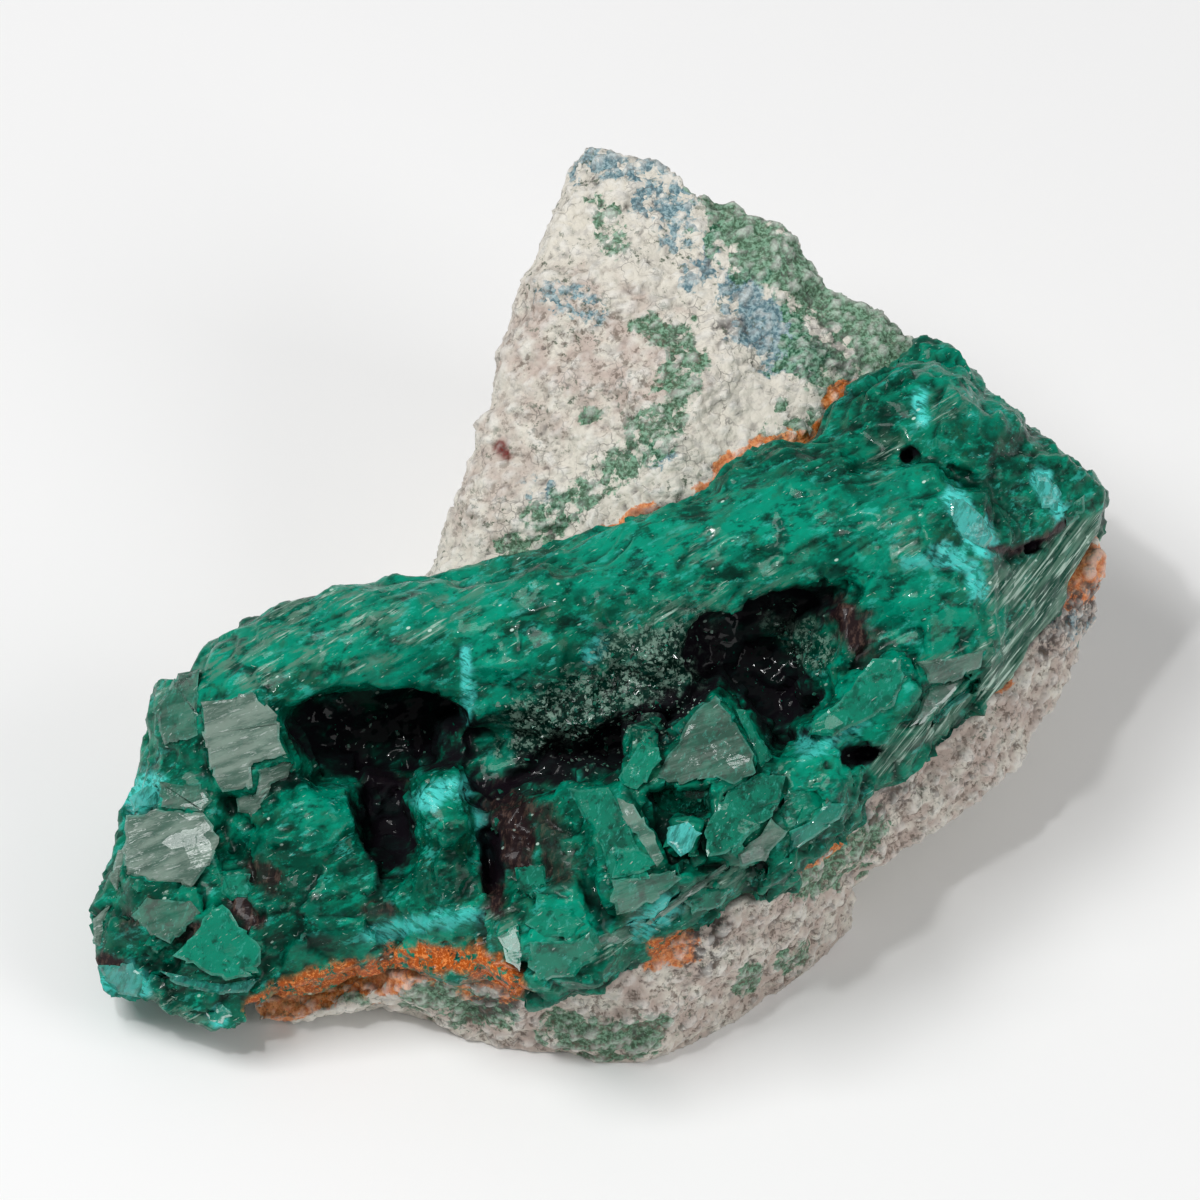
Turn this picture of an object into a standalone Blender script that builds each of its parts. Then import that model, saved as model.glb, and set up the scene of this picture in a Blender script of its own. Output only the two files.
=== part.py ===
"""A hand specimen of dioptase: an emerald green crust of crystals on a chunk of white rock.

The script works in millimetres and writes its two solids in metres, +Z up, on the rock's flat base.
Most places are given in the frame of the broken face: U runs right across it, V up it and W out of it.
"""

import math

import bmesh
import bpy
from mathutils import Matrix, Vector, noise

MM = 0.001
FACE_LEAN = math.radians(50)  # the broken face looks up by this much above the horizontal
SEAM_GAP = 0.32  # between the rock and the crust that grew on it
CUT_REACH = 80.0  # half the size of the block that levels the base
ROOT_DEPTH = 2.0  # the rock's blocks reach this far below the ground before they are levelled

ROCK_GRAIN = 0.9  # edge length of the rock's mesh before it is thinned out
ROCK_BLEND = 2  # how often the seams between blocks are smoothed
ROCK_FACES = 2500
ROCK_LUMP = 0.85  # how far the lumps and pits stand from the blocks' flat sides
ROCK_LUMP_SIZE = 4.2
ROCK_PIT = 0.35
ROCK_PIT_SIZE = 1.7
MEAN_PIT = 0.5  # the pattern's own middle value

CRUST_GRAIN = 0.6
CRUST_BLEND = 14
CRUST_BODY_FACES = 4200
CRUST_FACES = 4600  # with its crystals and hollows, before the rock's seat is cut
CRUST_CLEARANCE = 0.7  # the crust ends this far above the ground
CRUST_WAVE = 0.6
CRUST_WAVE_SIZE = 4.5
CRUST_LEDGE = 0.6  # height of the flow ledges that run along the crust
CRUST_LEDGE_SPACING = 3.0
CRUST_LEDGE_SLANT = math.radians(24)
CRUST_LEDGE_WANDER = 0.8  # how far a ledge strays, as a share of the spacing
MEAN_LEDGE = 0.4
LAYER_DEPTH = 6.5

HOLLOW_ROUGHNESS = 0.55
HOLLOW_LUMP_SIZE = 2.0
HOLLOW_SQUARENESS = 3.2  # 2 is an ellipsoid, and a higher value has steeper walls
CRYSTAL_SPREAD = 1.6  # a crystal is this much wider where it roots in the crust
RIM_CRYSTAL_SPREAD = 0.82
SMALLEST_EDGE = 0.004  # edges shorter than this are closed up

ROCK_COLOUR = (0.78, 0.74, 0.68, 1.0)
DIOPTASE_COLOUR = (0.0, 0.27, 0.16, 1.0)
ROCK_ROUGHNESS = 0.85
DIOPTASE_ROUGHNESS = 0.18

# Each block is the hull of points on its broken face (U, V, W) and points on the ground (U, V).
ROCK_BLOCKS = {
    "white slab": (
        (
            (-1.0, 28.7, 9.2), (-2.2, 26.7, 10.0), (6.0, 25.8, 10.3), (16.0, 18.7, 11.3),
            (20.4, 14.2, 12.0), (-10.6, 0.4, 16.0), (-8.2, 6.0, 16.0), (-3.9, 19.4, 13.0),
            (5.0, 10.0, 18.0), (14.0, -2.0, 18.5), (-6.0, -8.0, 19.5),
        ),
        ((-3.0, 9.5), (10.0, 9.0), (18.0, 4.0), (-9.0, 1.2), (-9.0, -16.0), (10.0, -17.0)),
    ),
    "front foot": (
        (
            (-13.0, -22.6, 26.0), (-6.0, -22.8, 28.5), (0.0, -22.4, 29.5), (6.0, -19.8, 30.5),
            (12.0, -15.8, 29.0), (15.5, -12.4, 26.5), (3.0, -24.6, 28.4), (9.6, -20.4, 27.8),
            (-8.0, -12.0, 20.5), (10.0, -8.0, 21.0),
        ),
        (
            (0.0, -27.8), (-5.0, -27.1), (5.2, -26.8), (11.4, -23.2), (15.8, -19.2), (-8.8, -23.8),
            (-13.4, -23.4), (-12.0, -15.0), (12.0, -10.0),
        ),
    ),
    "right ledge": (
        (
            (16.0, -11.6, 26.0), (20.0, -8.6, 23.5), (24.6, -4.8, 21.0), (27.2, -1.2, 18.5),
            (30.7, 2.8, 15.5), (16.6, -16.6, 22.0), (24.2, -10.9, 18.5), (27.6, -6.6, 15.5),
            (28.1, -3.4, 13.5), (30.2, 0.8, 12.5), (29.0, 6.0, 11.0), (20.0, 13.6, 11.5),
            (10.0, 8.0, 15.0),
        ),
        ((14.0, -12.0), (20.0, -6.0), (22.0, 0.0), (18.0, 4.0), (10.0, 0.0)),
    ),
    "left root": (
        (
            (-12.0, -22.7, 24.4), (-20.9, -25.8, 22.8), (-25.0, -16.0, 17.0), (-25.0, -9.0, 14.5),
            (-21.0, -4.0, 13.0), (-12.0, -1.0, 14.5), (-8.0, -8.0, 17.5), (-8.0, -23.2, 26.0),
        ),
        ((-18.5, -22.0), (-22.0, -12.0), (-17.0, -4.0), (-9.0, -3.0), (-8.0, -20.0), (-12.0, -23.0)),
    ),
}

# The thin layer of green over the rock, from the upper seam to the lower one, as outlines (U, V, W).
CRUST_LAYERS = {
    "left arm": (
        (-26.4, -6.0, 20.0), (-19.4, -1.0, 19.5), (-10.0, 0.6, 20.0), (-8.0, -20.6, 29.0),
        (-14.4, -21.6, 28.0), (-21.0, -23.8, 27.6), (-27.4, -23.4, 26.0), (-30.2, -20.6, 24.0),
        (-27.6, -12.0, 20.5),
    ),
    "middle": (
        (-11.0, 0.8, 19.5), (-4.8, 2.0, 20.0), (0.0, 4.0, 20.5), (6.0, 6.4, 20.5), (10.8, 7.6, 19.8),
        (14.4, -12.8, 29.5), (9.2, -17.6, 31.5), (0.0, -22.8, 32.0), (-5.0, -23.2, 31.5),
        (-8.6, -20.6, 29.0),
    ),
    "right end": (
        (10.8, 7.6, 19.8), (16.0, 12.6, 17.5), (19.6, 15.6, 15.5), (24.2, 12.0, 16.0),
        (30.4, 6.4, 16.5), (30.3, 4.6, 16.5), (27.4, -0.8, 20.5), (25.0, -4.6, 22.5),
        (20.2, -8.8, 25.5), (14.2, -13.4, 29.0),
    ),
}

# Rounded masses of the crust: centre (U, V, W), half sizes along U, V and W, and turn in degrees.
CRUST_MASSES = {
    "ridge, left end": ((-23.9, -7.9, 21.0), (3.3, 3.5, 5.2), 0),
    "ridge, first swell": ((-18.8, -4.9, 22.2), (6.0, 3.9, 6.4), 14),
    "ridge over the left hollow": ((-12.4, -2.8, 23.2), (7.0, 4.2, 6.4), 4),
    "ridge, middle swell": ((-3.6, -2.8, 24.4), (8.0, 5.2, 6.2), 10),
    "ridge over the middle hollow": ((4.6, -0.4, 24.4), (7.6, 6.0, 6.0), 20),
    "ridge, rise to the boss": ((11.6, 2.8, 22.8), (7.4, 6.4, 6.6), 25),
    "boss": ((19.2, 1.6, 22.0), (5.8, 8.2, 8.6), 12),
    "boss, upper part": ((19.4, 8.4, 18.4), (6.4, 5.8, 7.2), -20),
    "boss, right shoulder": ((24.0, 6.3, 17.6), (4.9, 4.2, 6.4), -35),
    "left hollow's wall": ((-24.0, -12.2, 20.2), (3.7, 5.4, 6.2), 0),
    "smooth left boss": ((-17.4, -13.9, 22.8), (4.8, 4.0, 6.4), 8),
    "left slope": ((-15.4, -18.6, 25.4), (7.4, 3.6, 4.4), 10),
    "left end": ((-24.6, -19.0, 23.0), (5.8, 5.0, 4.6), 0),
    "finger": ((-9.2, -13.6, 26.8), (2.0, 4.0, 5.6), 8),
    "finger's root": ((-8.4, -18.6, 28.0), (3.8, 4.2, 4.6), 0),
    "brown wall": ((-4.4, -14.8, 27.4), (3.4, 4.8, 3.8), 0),
    "lower bulge": ((-2.6, -20.2, 30.6), (4.4, 4.0, 5.0), 20),
    "middle crystals' root": ((1.8, -15.2, 29.2), (5.0, 5.6, 5.2), 20),
    "pyramid's root": ((7.0, -12.2, 28.6), (5.4, 5.4, 5.2), 30),
    "lower right slope": ((11.6, -11.6, 28.6), (5.0, 3.7, 4.6), 38),
    "sheet's root": ((15.8, -6.8, 25.8), (5.2, 4.4, 5.2), 35),
    "shelf over the long slot": ((1.6, -6.2, 25.4), (6.4, 3.0, 3.4), 15),
}

# Crystals that show a flat face: its corners (U, V, W) in order, and how far the crystal goes in.
CRYSTALS = {
    "cleavage plate": (
        (
            (-23.8, -6.3, 27.4), (-20.3, -5.4, 28.6), (-18.5, -9.9, 28.4), (-21.0, -11.7, 27.4),
            (-23.1, -11.3, 26.8),
        ),
        6.0,
    ),
    "chip under the plate": (
        ((-21.9, -11.0, 26.6), (-18.9, -10.3, 27.2), (-19.8, -12.9, 26.8), (-21.3, -13.0, 26.4)),
        5.0,
    ),
    "mint facet": (
        ((-23.1, -18.2, 28.8), (-20.2, -21.0, 28.8), (-20.6, -22.6, 28.0), (-25.0, -21.9, 27.6)),
        4.5,
    ),
    "olive facet": (
        ((-27.4, -17.5, 26.4), (-24.2, -17.3, 28.0), (-23.9, -19.6, 28.4), (-26.6, -19.9, 27.2)),
        4.0,
    ),
    "crystal in the left hollow": (
        ((-9.8, -7.4, 24.2), (-8.2, -7.1, 25.4), (-8.0, -9.4, 25.8), (-9.6, -9.5, 24.8)),
        4.0,
    ),
    "finger's tip": (
        ((-10.3, -11.1, 30.4), (-8.6, -10.4, 31.0), (-7.8, -13.8, 32.0), (-9.4, -14.8, 33.2)),
        6.0,
    ),
    "finger's foot": (
        ((-9.9, -15.8, 32.6), (-7.9, -15.2, 31.6), (-7.4, -19.2, 31.6), (-9.0, -20.4, 32.0)),
        4.0,
    ),
    "pyramid": (((6.9, -5.9, 32.6), (3.0, -10.2, 34.6), (6.0, -12.1, 36.2), (9.8, -9.6, 34.4)), 8.0),
    "small column": (
        ((1.9, -8.2, 34.4), (3.2, -8.0, 34.6), (3.7, -11.2, 35.4), (1.7, -11.4, 35.2)),
        7.0,
    ),
    "striated prism": (
        (
            (-0.9, -11.4, 32.4), (2.3, -11.5, 35.4), (3.6, -15.6, 37.2), (1.2, -16.9, 36.2),
            (-0.7, -16.4, 33.8),
        ),
        7.0,
    ),
    "brown wall's step": (
        ((-4.8, -12.2, 30.2), (-1.4, -11.4, 32.0), (-1.2, -15.6, 32.6), (-4.6, -16.4, 31.6)),
        4.0,
    ),
    "bulge's upper face": (
        ((-4.6, -17.4, 34.0), (-1.6, -16.8, 35.0), (-0.4, -19.6, 35.4), (-4.4, -20.6, 34.6)),
        4.0,
    ),
    "bulge's lower face": (
        ((-4.8, -20.8, 34.4), (-0.6, -20.0, 35.2), (-0.8, -22.6, 33.8), (-4.4, -23.2, 33.4)),
        4.0,
    ),
    "pale base facet": (
        ((0.6, -17.2, 36.6), (4.9, -16.1, 37.0), (3.8, -18.8, 34.6), (0.9, -19.7, 33.6)),
        5.0,
    ),
    "facet by the lower seam": (
        ((5.2, -16.6, 36.2), (9.0, -15.9, 34.4), (7.6, -17.8, 32.4), (4.8, -19.3, 32.8)),
        4.0,
    ),
    "cyan crystal": (
        ((4.4, -12.9, 36.8), (6.0, -13.2, 37.2), (5.7, -15.2, 37.4), (4.3, -14.9, 37.0)),
        6.0,
    ),
    "bright facet": (
        (
            (6.8, -11.2, 36.2), (10.3, -10.2, 33.4), (11.0, -12.8, 33.6), (9.3, -15.5, 35.4),
            (7.0, -14.8, 37.4),
        ),
        7.0,
    ),
    "grey facet": (
        ((10.9, -12.4, 34.2), (12.3, -12.0, 33.0), (11.6, -16.3, 33.2), (9.8, -17.0, 34.2)),
        5.0,
    ),
    "upper sheet": (
        (
            (12.9, -7.4, 31.4), (17.1, -3.8, 31.6), (19.0, -5.4, 31.0), (17.5, -8.2, 30.2),
            (13.5, -8.6, 31.0),
        ),
        5.0,
    ),
    "lower sheet": (
        ((11.6, -10.2, 32.8), (14.7, -10.2, 31.6), (15.2, -12.8, 31.0), (12.7, -14.3, 32.0)),
        5.0,
    ),
    "boss facet": (((19.0, 5.8, 30.0), (23.0, 6.4, 27.6), (23.2, 3.2, 28.2), (19.6, 2.9, 30.8)), 5.0),
    "shoulder facet": (
        ((21.0, 12.6, 24.4), (24.4, 10.6, 22.8), (23.0, 7.4, 25.6), (20.0, 9.0, 27.0)),
        4.0,
    ),
    "grey conchoidal facet": (
        ((19.2, -3.8, 30.2), (23.5, -3.2, 28.2), (23.3, -5.1, 26.4), (20.1, -5.8, 27.8)),
        5.0,
    ),
    "crest block": (
        ((19.4, 2.6, 30.6), (23.6, 2.7, 28.2), (23.7, -3.2, 27.8), (19.6, -3.8, 30.2)),
        7.0,
    ),
    "crystal right of the hollow": (
        ((11.8, -0.9, 24.6), (14.0, -0.6, 27.4), (14.4, -4.8, 28.4), (12.2, -5.8, 26.4)),
        4.0,
    ),
    "brown facet": (
        ((14.5, -0.4, 28.6), (16.5, -0.2, 28.0), (16.6, -3.4, 29.0), (14.7, -3.6, 30.0)),
        3.0,
    ),
}

# Those on the skyline and along the crust's edge, which narrow inwards.
RIM_CRYSTALS = {
    "glitter plate": (
        (
            (-28.2, -13.6, 25.0), (-23.4, -14.0, 27.2), (-22.5, -17.0, 27.4), (-25.2, -17.7, 26.6),
            (-28.8, -16.8, 25.0),
        ),
        5.0,
    ),
    "teal plate": (
        ((-30.4, -20.2, 24.0), (-27.6, -20.3, 26.2), (-27.2, -24.1, 26.0), (-29.6, -23.5, 24.4)),
        3.0,
    ),
    "lower left tip": (
        (
            (-26.6, -22.2, 26.8), (-21.4, -22.8, 28.0), (-21.0, -25.4, 27.0), (-23.1, -25.9, 26.4),
            (-26.8, -24.1, 25.6),
        ),
        3.0,
    ),
    "left edge plate": (
        (
            (-27.3, -7.2, 21.4), (-26.5, -4.6, 21.4), (-23.8, -5.0, 26.0), (-24.4, -9.6, 26.0),
            (-26.8, -9.2, 22.6),
        ),
        4.5,
    ),
    "step on the skyline": (
        (
            (-22.8, -2.7, 24.0), (-20.4, -1.1, 24.4), (-19.1, -0.1, 23.6), (-13.2, 0.6, 23.4),
            (-12.0, -1.6, 27.2), (-21.4, -4.2, 27.2),
        ),
        5.0,
    ),
    "right tip": (
        ((23.6, 8.6, 24.2), (28.0, 8.7, 21.0), (30.5, 6.5, 19.0), (30.0, 4.7, 18.4), (24.6, 3.2, 24.6)),
        5.0,
    ),
    "side slab": (
        (
            (23.9, 2.0, 25.4), (30.0, 4.4, 18.0), (28.2, 1.2, 18.0), (24.8, -3.9, 22.6),
            (23.9, -1.6, 25.2),
        ),
        5.0,
    ),
}

# Hollows, like the masses. They widen under the ridge, whose edge hangs over them.
HOLLOWS = {
    "left hollow": ((-13.4, -8.3, 27.6), (5.6, 3.1, 8.2), 4),
    "left hollow, under the ridge": ((-13.0, -6.4, 22.8), (4.8, 2.8, 2.8), 4),
    "left slot": ((-13.0, -12.2, 29.0), (2.0, 4.0, 7.0), 12),
    "left slot, lower end": ((-12.4, -15.0, 31.0), (1.4, 1.9, 5.6), 10),
    "long slot": ((-0.6, -9.4, 33.0), (8.4, 2.0, 8.0), 18),
    "middle hollow": ((9.9, -5.0, 31.0), (4.0, 4.2, 8.4), 10),
    "middle hollow, arm up": ((7.2, -3.2, 31.0), (2.4, 2.6, 7.0), -20),
    "middle hollow, under the ridge": ((9.4, -1.8, 26.4), (4.2, 2.6, 2.8), 15),
    "middle hollow, along the lip": ((12.0, -0.2, 31.0), (3.6, 1.1, 5.0), 12),
    "pit in the sheets": ((15.6, -9.2, 31.0), (1.4, 0.8, 4.0), 25),
    "dark notch": ((-6.6, -15.4, 33.0), (0.7, 2.4, 5.0), 4),
    "pit on the boss": ((18.6, 8.6, 26.0), (0.8, 0.7, 2.6), 0),
    "crack on the right": ((25.6, 3.0, 26.0), (3.0, 0.5, 5.0), 20),
}


def face_point(u, v, w):
    """A place given in the broken face's frame, as a vector with Z up."""
    rise, run = math.sin(FACE_LEAN), math.cos(FACE_LEAN)
    return Vector((u, v * rise - w * run, v * run + w * rise))


def ground_point(u, v):
    """The place on the ground that lies behind (U, V) of the broken face."""
    return face_point(u, v, -v / math.tan(FACE_LEAN))


def face_matrix(centre, turn):
    """Axes along U, V and W at a place of the face's frame, turned about W by some degrees."""
    axes = Matrix.Rotation(math.pi / 2 - FACE_LEAN, 4, "X")
    return Matrix.Translation(face_point(*centre)) @ axes @ Matrix.Rotation(math.radians(turn), 4, "Z")


def add_hull(shape, points):
    """Add the convex hull of some points to a shape."""
    block = bmesh.new()
    for point in points:
        block.verts.new(point)
    hull = bmesh.ops.convex_hull(block, input=block.verts)
    left_over = set(hull["geom_interior"] + hull["geom_unused"])
    spare = [item for item in left_over if isinstance(item, bmesh.types.BMVert)]
    bmesh.ops.delete(block, geom=spare, context="VERTS")
    bmesh.ops.recalc_face_normals(block, faces=block.faces)
    add_shape(shape, block)


def add_shape(shape, other):
    """Move everything in one shape into another."""
    mesh = bpy.data.meshes.new("moving")
    other.to_mesh(mesh)
    other.free()
    shape.from_mesh(mesh)
    bpy.data.meshes.remove(mesh)


def mass_matrix(centre, half_sizes, turn):
    """Where a ball of radius 1 goes to fill a mass with these half sizes along U, V and W."""
    return face_matrix(centre, turn) @ Matrix.Diagonal((*half_sizes, 1.0))


def as_object(name, shape):
    """Put a shape into the scene as an object, and free it."""
    mesh = bpy.data.meshes.new(name)
    shape.to_mesh(mesh)
    shape.free()
    item = bpy.data.objects.new(name, mesh)
    bpy.context.scene.collection.objects.link(item)
    return item


def settled(item):
    """The object's shape with its modifiers applied. The object leaves the scene."""
    graph = bpy.context.evaluated_depsgraph_get()
    shape = bmesh.new()
    shape.from_object(item, graph)
    mesh = item.data
    bpy.data.objects.remove(item)
    bpy.data.meshes.remove(mesh)
    return shape


def fused(shape, grain, blend):
    """One skin of even facets round all the overlapping bodies of a shape, with its seams smoothed."""
    item = as_object("fusing", shape)
    remesh = item.modifiers.new("Fuse", "REMESH")
    remesh.mode = "VOXEL"
    remesh.voxel_size = grain
    smooth = item.modifiers.new("Blend", "SMOOTH")
    smooth.iterations = blend
    return settled(item)


def thinned(shape, faces):
    """The shape with about this many triangles, most of them where it bends."""
    bmesh.ops.triangulate(shape, faces=shape.faces)
    share = min(1.0, faces / len(shape.faces))
    item = as_object("thinning", shape)
    decimate = item.modifiers.new("Thin", "DECIMATE")
    decimate.ratio = share
    decimate.use_collapse_triangulate = True
    return settled(item)


def combined(shape, tool, operation, tool_folds=False):
    """The shape after a Boolean with a tool, which is used up and whose skin may fold through itself."""
    item = as_object("shape", shape)
    cutter = as_object("tool", tool)
    cutter.hide_render = True
    cutter.display_type = "WIRE"
    boolean = item.modifiers.new("Combine", "BOOLEAN")
    boolean.operation = operation
    boolean.solver = "EXACT"
    boolean.use_self = tool_folds
    boolean.object = cutter
    result = settled(item)
    cutter_mesh = cutter.data
    bpy.data.objects.remove(cutter)
    bpy.data.meshes.remove(cutter_mesh)
    return result


def push_out(shape, distance):
    """Move each vertex along its normal by what distance() gives for its place."""
    shape.normal_update()
    moves = [vertex.normal * distance(vertex.co) for vertex in shape.verts]
    for vertex, move in zip(shape.verts, moves):
        vertex.co += move


def largest_body(shape):
    """Delete every loose body of a shape but the one with most vertices."""
    unseen = set(shape.verts)
    bodies = []
    while unseen:
        body = {unseen.pop()}
        edge_of_body = list(body)
        while edge_of_body:
            vertex = edge_of_body.pop()
            for edge in vertex.link_edges:
                other = edge.other_vert(vertex)
                if other in unseen:
                    unseen.remove(other)
                    body.add(other)
                    edge_of_body.append(other)
        bodies.append(body)
    bodies.sort(key=len)
    for body in bodies[:-1]:
        bmesh.ops.delete(shape, geom=list(body), context="VERTS")


def cleaned(shape):
    """Drop loose crumbs, close up tiny edges and leave triangles only."""
    largest_body(shape)
    bmesh.ops.dissolve_degenerate(shape, edges=shape.edges, dist=SMALLEST_EDGE)
    bmesh.ops.triangulate(shape, faces=shape.faces)
    return shape


def rock_relief(place):
    """Lumps and pits of the rock."""
    lumps = noise.fractal(place / ROCK_LUMP_SIZE, 1.0, 2.1, 2)
    pits = noise.voronoi(place / ROCK_PIT_SIZE)[0][0]
    return ROCK_LUMP * lumps + ROCK_PIT * (MEAN_PIT - pits)


def crust_relief(place):
    """Long waves of the crust and the slanted ledges that run along it."""
    waves = noise.fractal(place / CRUST_WAVE_SIZE, 1.0, 2.0, 2)
    across = place.z * math.cos(CRUST_LEDGE_SLANT) - place.x * math.sin(CRUST_LEDGE_SLANT)
    wander = CRUST_LEDGE_WANDER * noise.noise(place / CRUST_WAVE_SIZE)
    turns = across / CRUST_LEDGE_SPACING + wander
    ledge = turns - math.floor(turns)
    return CRUST_WAVE * waves + CRUST_LEDGE * (ledge**2 - MEAN_LEDGE)


def hollow_relief(place):
    """Rough walls of the hollows."""
    return HOLLOW_ROUGHNESS * noise.fractal(place / HOLLOW_LUMP_SIZE, 1.0, 2.0, 1)


def levelled(shape, height):
    """The shape with everything under a height cut off flat."""
    ground = bmesh.new()
    below = Matrix.Translation((0, 0, height - CUT_REACH))
    bmesh.ops.create_cube(ground, size=2 * CUT_REACH, matrix=below)
    return combined(shape, ground, "DIFFERENCE")


def rock_shape():
    """The rock: broken blocks grown together, lumpy all over and level below."""
    shape = bmesh.new()
    for face_corners, ground_corners in ROCK_BLOCKS.values():
        corners = [face_point(*corner) for corner in face_corners]
        corners += [ground_point(*corner) - Vector((0, 0, ROOT_DEPTH)) for corner in ground_corners]
        add_hull(shape, corners)
    shape = fused(shape, ROCK_GRAIN, ROCK_BLEND)
    push_out(shape, rock_relief)
    shape = thinned(shape, ROCK_FACES)
    return cleaned(levelled(shape, 0.0))


def crystal_shape(corners, depth, spread):
    """A crystal with a flat front face, widening or narrowing inwards to where it roots."""
    front = [face_point(*corner) for corner in corners]
    middle = sum(front, Vector()) / len(front)
    inwards = -face_matrix(corners[0], 0).col[2].to_3d() * depth
    back = [middle + (corner - middle) * spread + inwards for corner in front]
    crystal = bmesh.new()
    add_hull(crystal, front + back)
    return crystal


def crust_body():
    """The green layer and its rounded masses, fused and set with waves and ledges."""
    shape = bmesh.new()
    inwards = face_point(0, 0, -LAYER_DEPTH)
    for outline in CRUST_LAYERS.values():
        front = [face_point(*corner) for corner in outline]
        add_hull(shape, front + [corner + inwards for corner in front])
    for centre, half_sizes, turn in CRUST_MASSES.values():
        bmesh.ops.create_icosphere(
            shape, subdivisions=3, radius=1.0, matrix=mass_matrix(centre, half_sizes, turn)
        )
    shape = fused(shape, CRUST_GRAIN, CRUST_BLEND)
    push_out(shape, crust_relief)
    return thinned(shape, CRUST_BODY_FACES)


def hollow_shape(centre, half_sizes, turn):
    """The lumpy room of one hollow."""
    room = bmesh.new()
    bmesh.ops.create_icosphere(room, subdivisions=2, radius=1.0)
    for vertex in room.verts:
        size = sum(abs(x) ** HOLLOW_SQUARENESS for x in vertex.co) ** (1 / HOLLOW_SQUARENESS)
        vertex.co /= size
    bmesh.ops.transform(room, verts=room.verts, matrix=mass_matrix(centre, half_sizes, turn))
    push_out(room, hollow_relief)
    return room


def crust_shape(rock):
    """The crust: body, crystals and hollows, cut clear of the rock that it grew on."""
    shape = crust_body()
    for centre, half_sizes, turn in HOLLOWS.values():
        shape = combined(shape, hollow_shape(centre, half_sizes, turn), "DIFFERENCE")
    for crystals, spread in ((CRYSTALS, CRYSTAL_SPREAD), (RIM_CRYSTALS, RIM_CRYSTAL_SPREAD)):
        for corners, depth in crystals.values():
            shape = combined(shape, crystal_shape(corners, depth, spread), "UNION")
    shape = levelled(thinned(shape, CRUST_FACES), CRUST_CLEARANCE)
    seat = rock.copy()
    push_out(seat, lambda place: SEAM_GAP)
    return cleaned(combined(shape, seat, "DIFFERENCE", tool_folds=True))


def material(name, colour, roughness):
    """A plain material with a colour and a roughness."""
    finish = bpy.data.materials.new(name)
    finish.use_nodes = True
    shader = finish.node_tree.nodes["Principled BSDF"]
    shader.inputs["Base Color"].default_value = colour
    shader.inputs["Roughness"].default_value = roughness
    shader.inputs["Metallic"].default_value = 0.0
    return finish


def stand_on_origin(items):
    """Scale the solids to metres and put the middle of their common base at the origin."""
    corners = [vertex.co for item in items for vertex in item.data.vertices]
    low = [min(corner[axis] for corner in corners) for axis in range(3)]
    high = [max(corner[axis] for corner in corners) for axis in range(3)]
    middle = Vector(((low[0] + high[0]) / 2, (low[1] + high[1]) / 2, low[2]))
    print("middle of the base, in millimetres of the face's frame:", tuple(round(x, 4) for x in middle))
    for item in items:
        item.data.transform(Matrix.Scale(MM, 4) @ Matrix.Translation(-middle))


def main():
    """Empty the scene and build the two solids."""
    for item in list(bpy.data.objects):
        bpy.data.objects.remove(item)
    rock = rock_shape()
    crust = crust_shape(rock)
    matrix = as_object("matrix", rock)
    matrix.data.materials.append(material("white host rock", ROCK_COLOUR, ROCK_ROUGHNESS))
    dioptase = as_object("dioptase_crust", crust)
    dioptase.data.materials.append(material("emerald dioptase", DIOPTASE_COLOUR, DIOPTASE_ROUGHNESS))
    stand_on_origin([matrix, dioptase])


main()
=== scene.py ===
"""The looks of a hand specimen of dioptase: sugary white rock under an emerald crust of crystals.

Places on the specimen are given in millimetres in the frame of its broken face: U right across it, V up it
and W out of it. Everything is written in metres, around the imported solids.
"""
import logging
import math
import random
from collections.abc import Iterable
from dataclasses import dataclass, field
from enum import Enum

import bmesh
import bpy
import numpy as np
from mathutils import Matrix, Vector, noise
from mathutils.bvhtree import BVHTree


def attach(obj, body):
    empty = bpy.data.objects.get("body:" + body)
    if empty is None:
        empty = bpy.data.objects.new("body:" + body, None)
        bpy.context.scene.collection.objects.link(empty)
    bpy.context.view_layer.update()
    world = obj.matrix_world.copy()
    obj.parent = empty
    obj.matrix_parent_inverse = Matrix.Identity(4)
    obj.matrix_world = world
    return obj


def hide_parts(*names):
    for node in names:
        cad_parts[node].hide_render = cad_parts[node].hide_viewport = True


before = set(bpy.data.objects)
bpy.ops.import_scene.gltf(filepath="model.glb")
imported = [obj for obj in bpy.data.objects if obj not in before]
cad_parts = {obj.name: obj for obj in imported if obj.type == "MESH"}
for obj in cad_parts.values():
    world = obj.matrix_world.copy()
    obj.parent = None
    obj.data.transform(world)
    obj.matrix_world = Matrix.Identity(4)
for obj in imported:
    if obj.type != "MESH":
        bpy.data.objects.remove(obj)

LOG = logging.getLogger("dioptase")
MM = 0.001
FLOW_SLANT = 25.0  # the crust's threads rise to the right by this angle in degrees
ABOVE = 60.0  # rays down onto the broken face start this far out of it, in millimetres
TINY = 1e-9  # keeps a length of nought from being divided by
FADE = 0.9  # how much weaker each finer layer of noise is
FINER = 2.1  # how much finer each layer of noise is than the one before
MIDDLE = (0.5, 0.5, 0.5)  # the middle of a node's colour or random direction
LEAN_SEED = 37.0  # sets the random direction of each cell

Place = tuple[float, float, float]
Spot = tuple[float, float]
Span = tuple[float, float]
Colour = tuple[float, float, float]


class Tint(Enum):
    """The colours that lie in patches on the rock or the crust, each a mask on the mesh."""

    GREEN = "green_stain"
    BLUE = "blue_stain"
    ORANGE = "orange_stain"
    SEAM = "orange_seam"
    RUST = "rust_stain"
    PINK = "pink_stain"
    SOOT = "soot_stain"
    # patches that are partly the mineral's own teal and partly painted highlight
    CYAN = "cyan_and_highlight_patch"
    # grey patches: partly the mineral's own grey, partly where painted sheen and painted highlight bands go
    GREY = "grey_patch"
    BROWN = "brown_patch"
    LIGHT = "light_patch"
    DEEP = "deep_patch"
    FIBRE = "fibre_patch"
    DRUSE = "druse"
    # where the painted shade in the hollows is strongest
    ROOM = "hollow_room"


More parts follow.
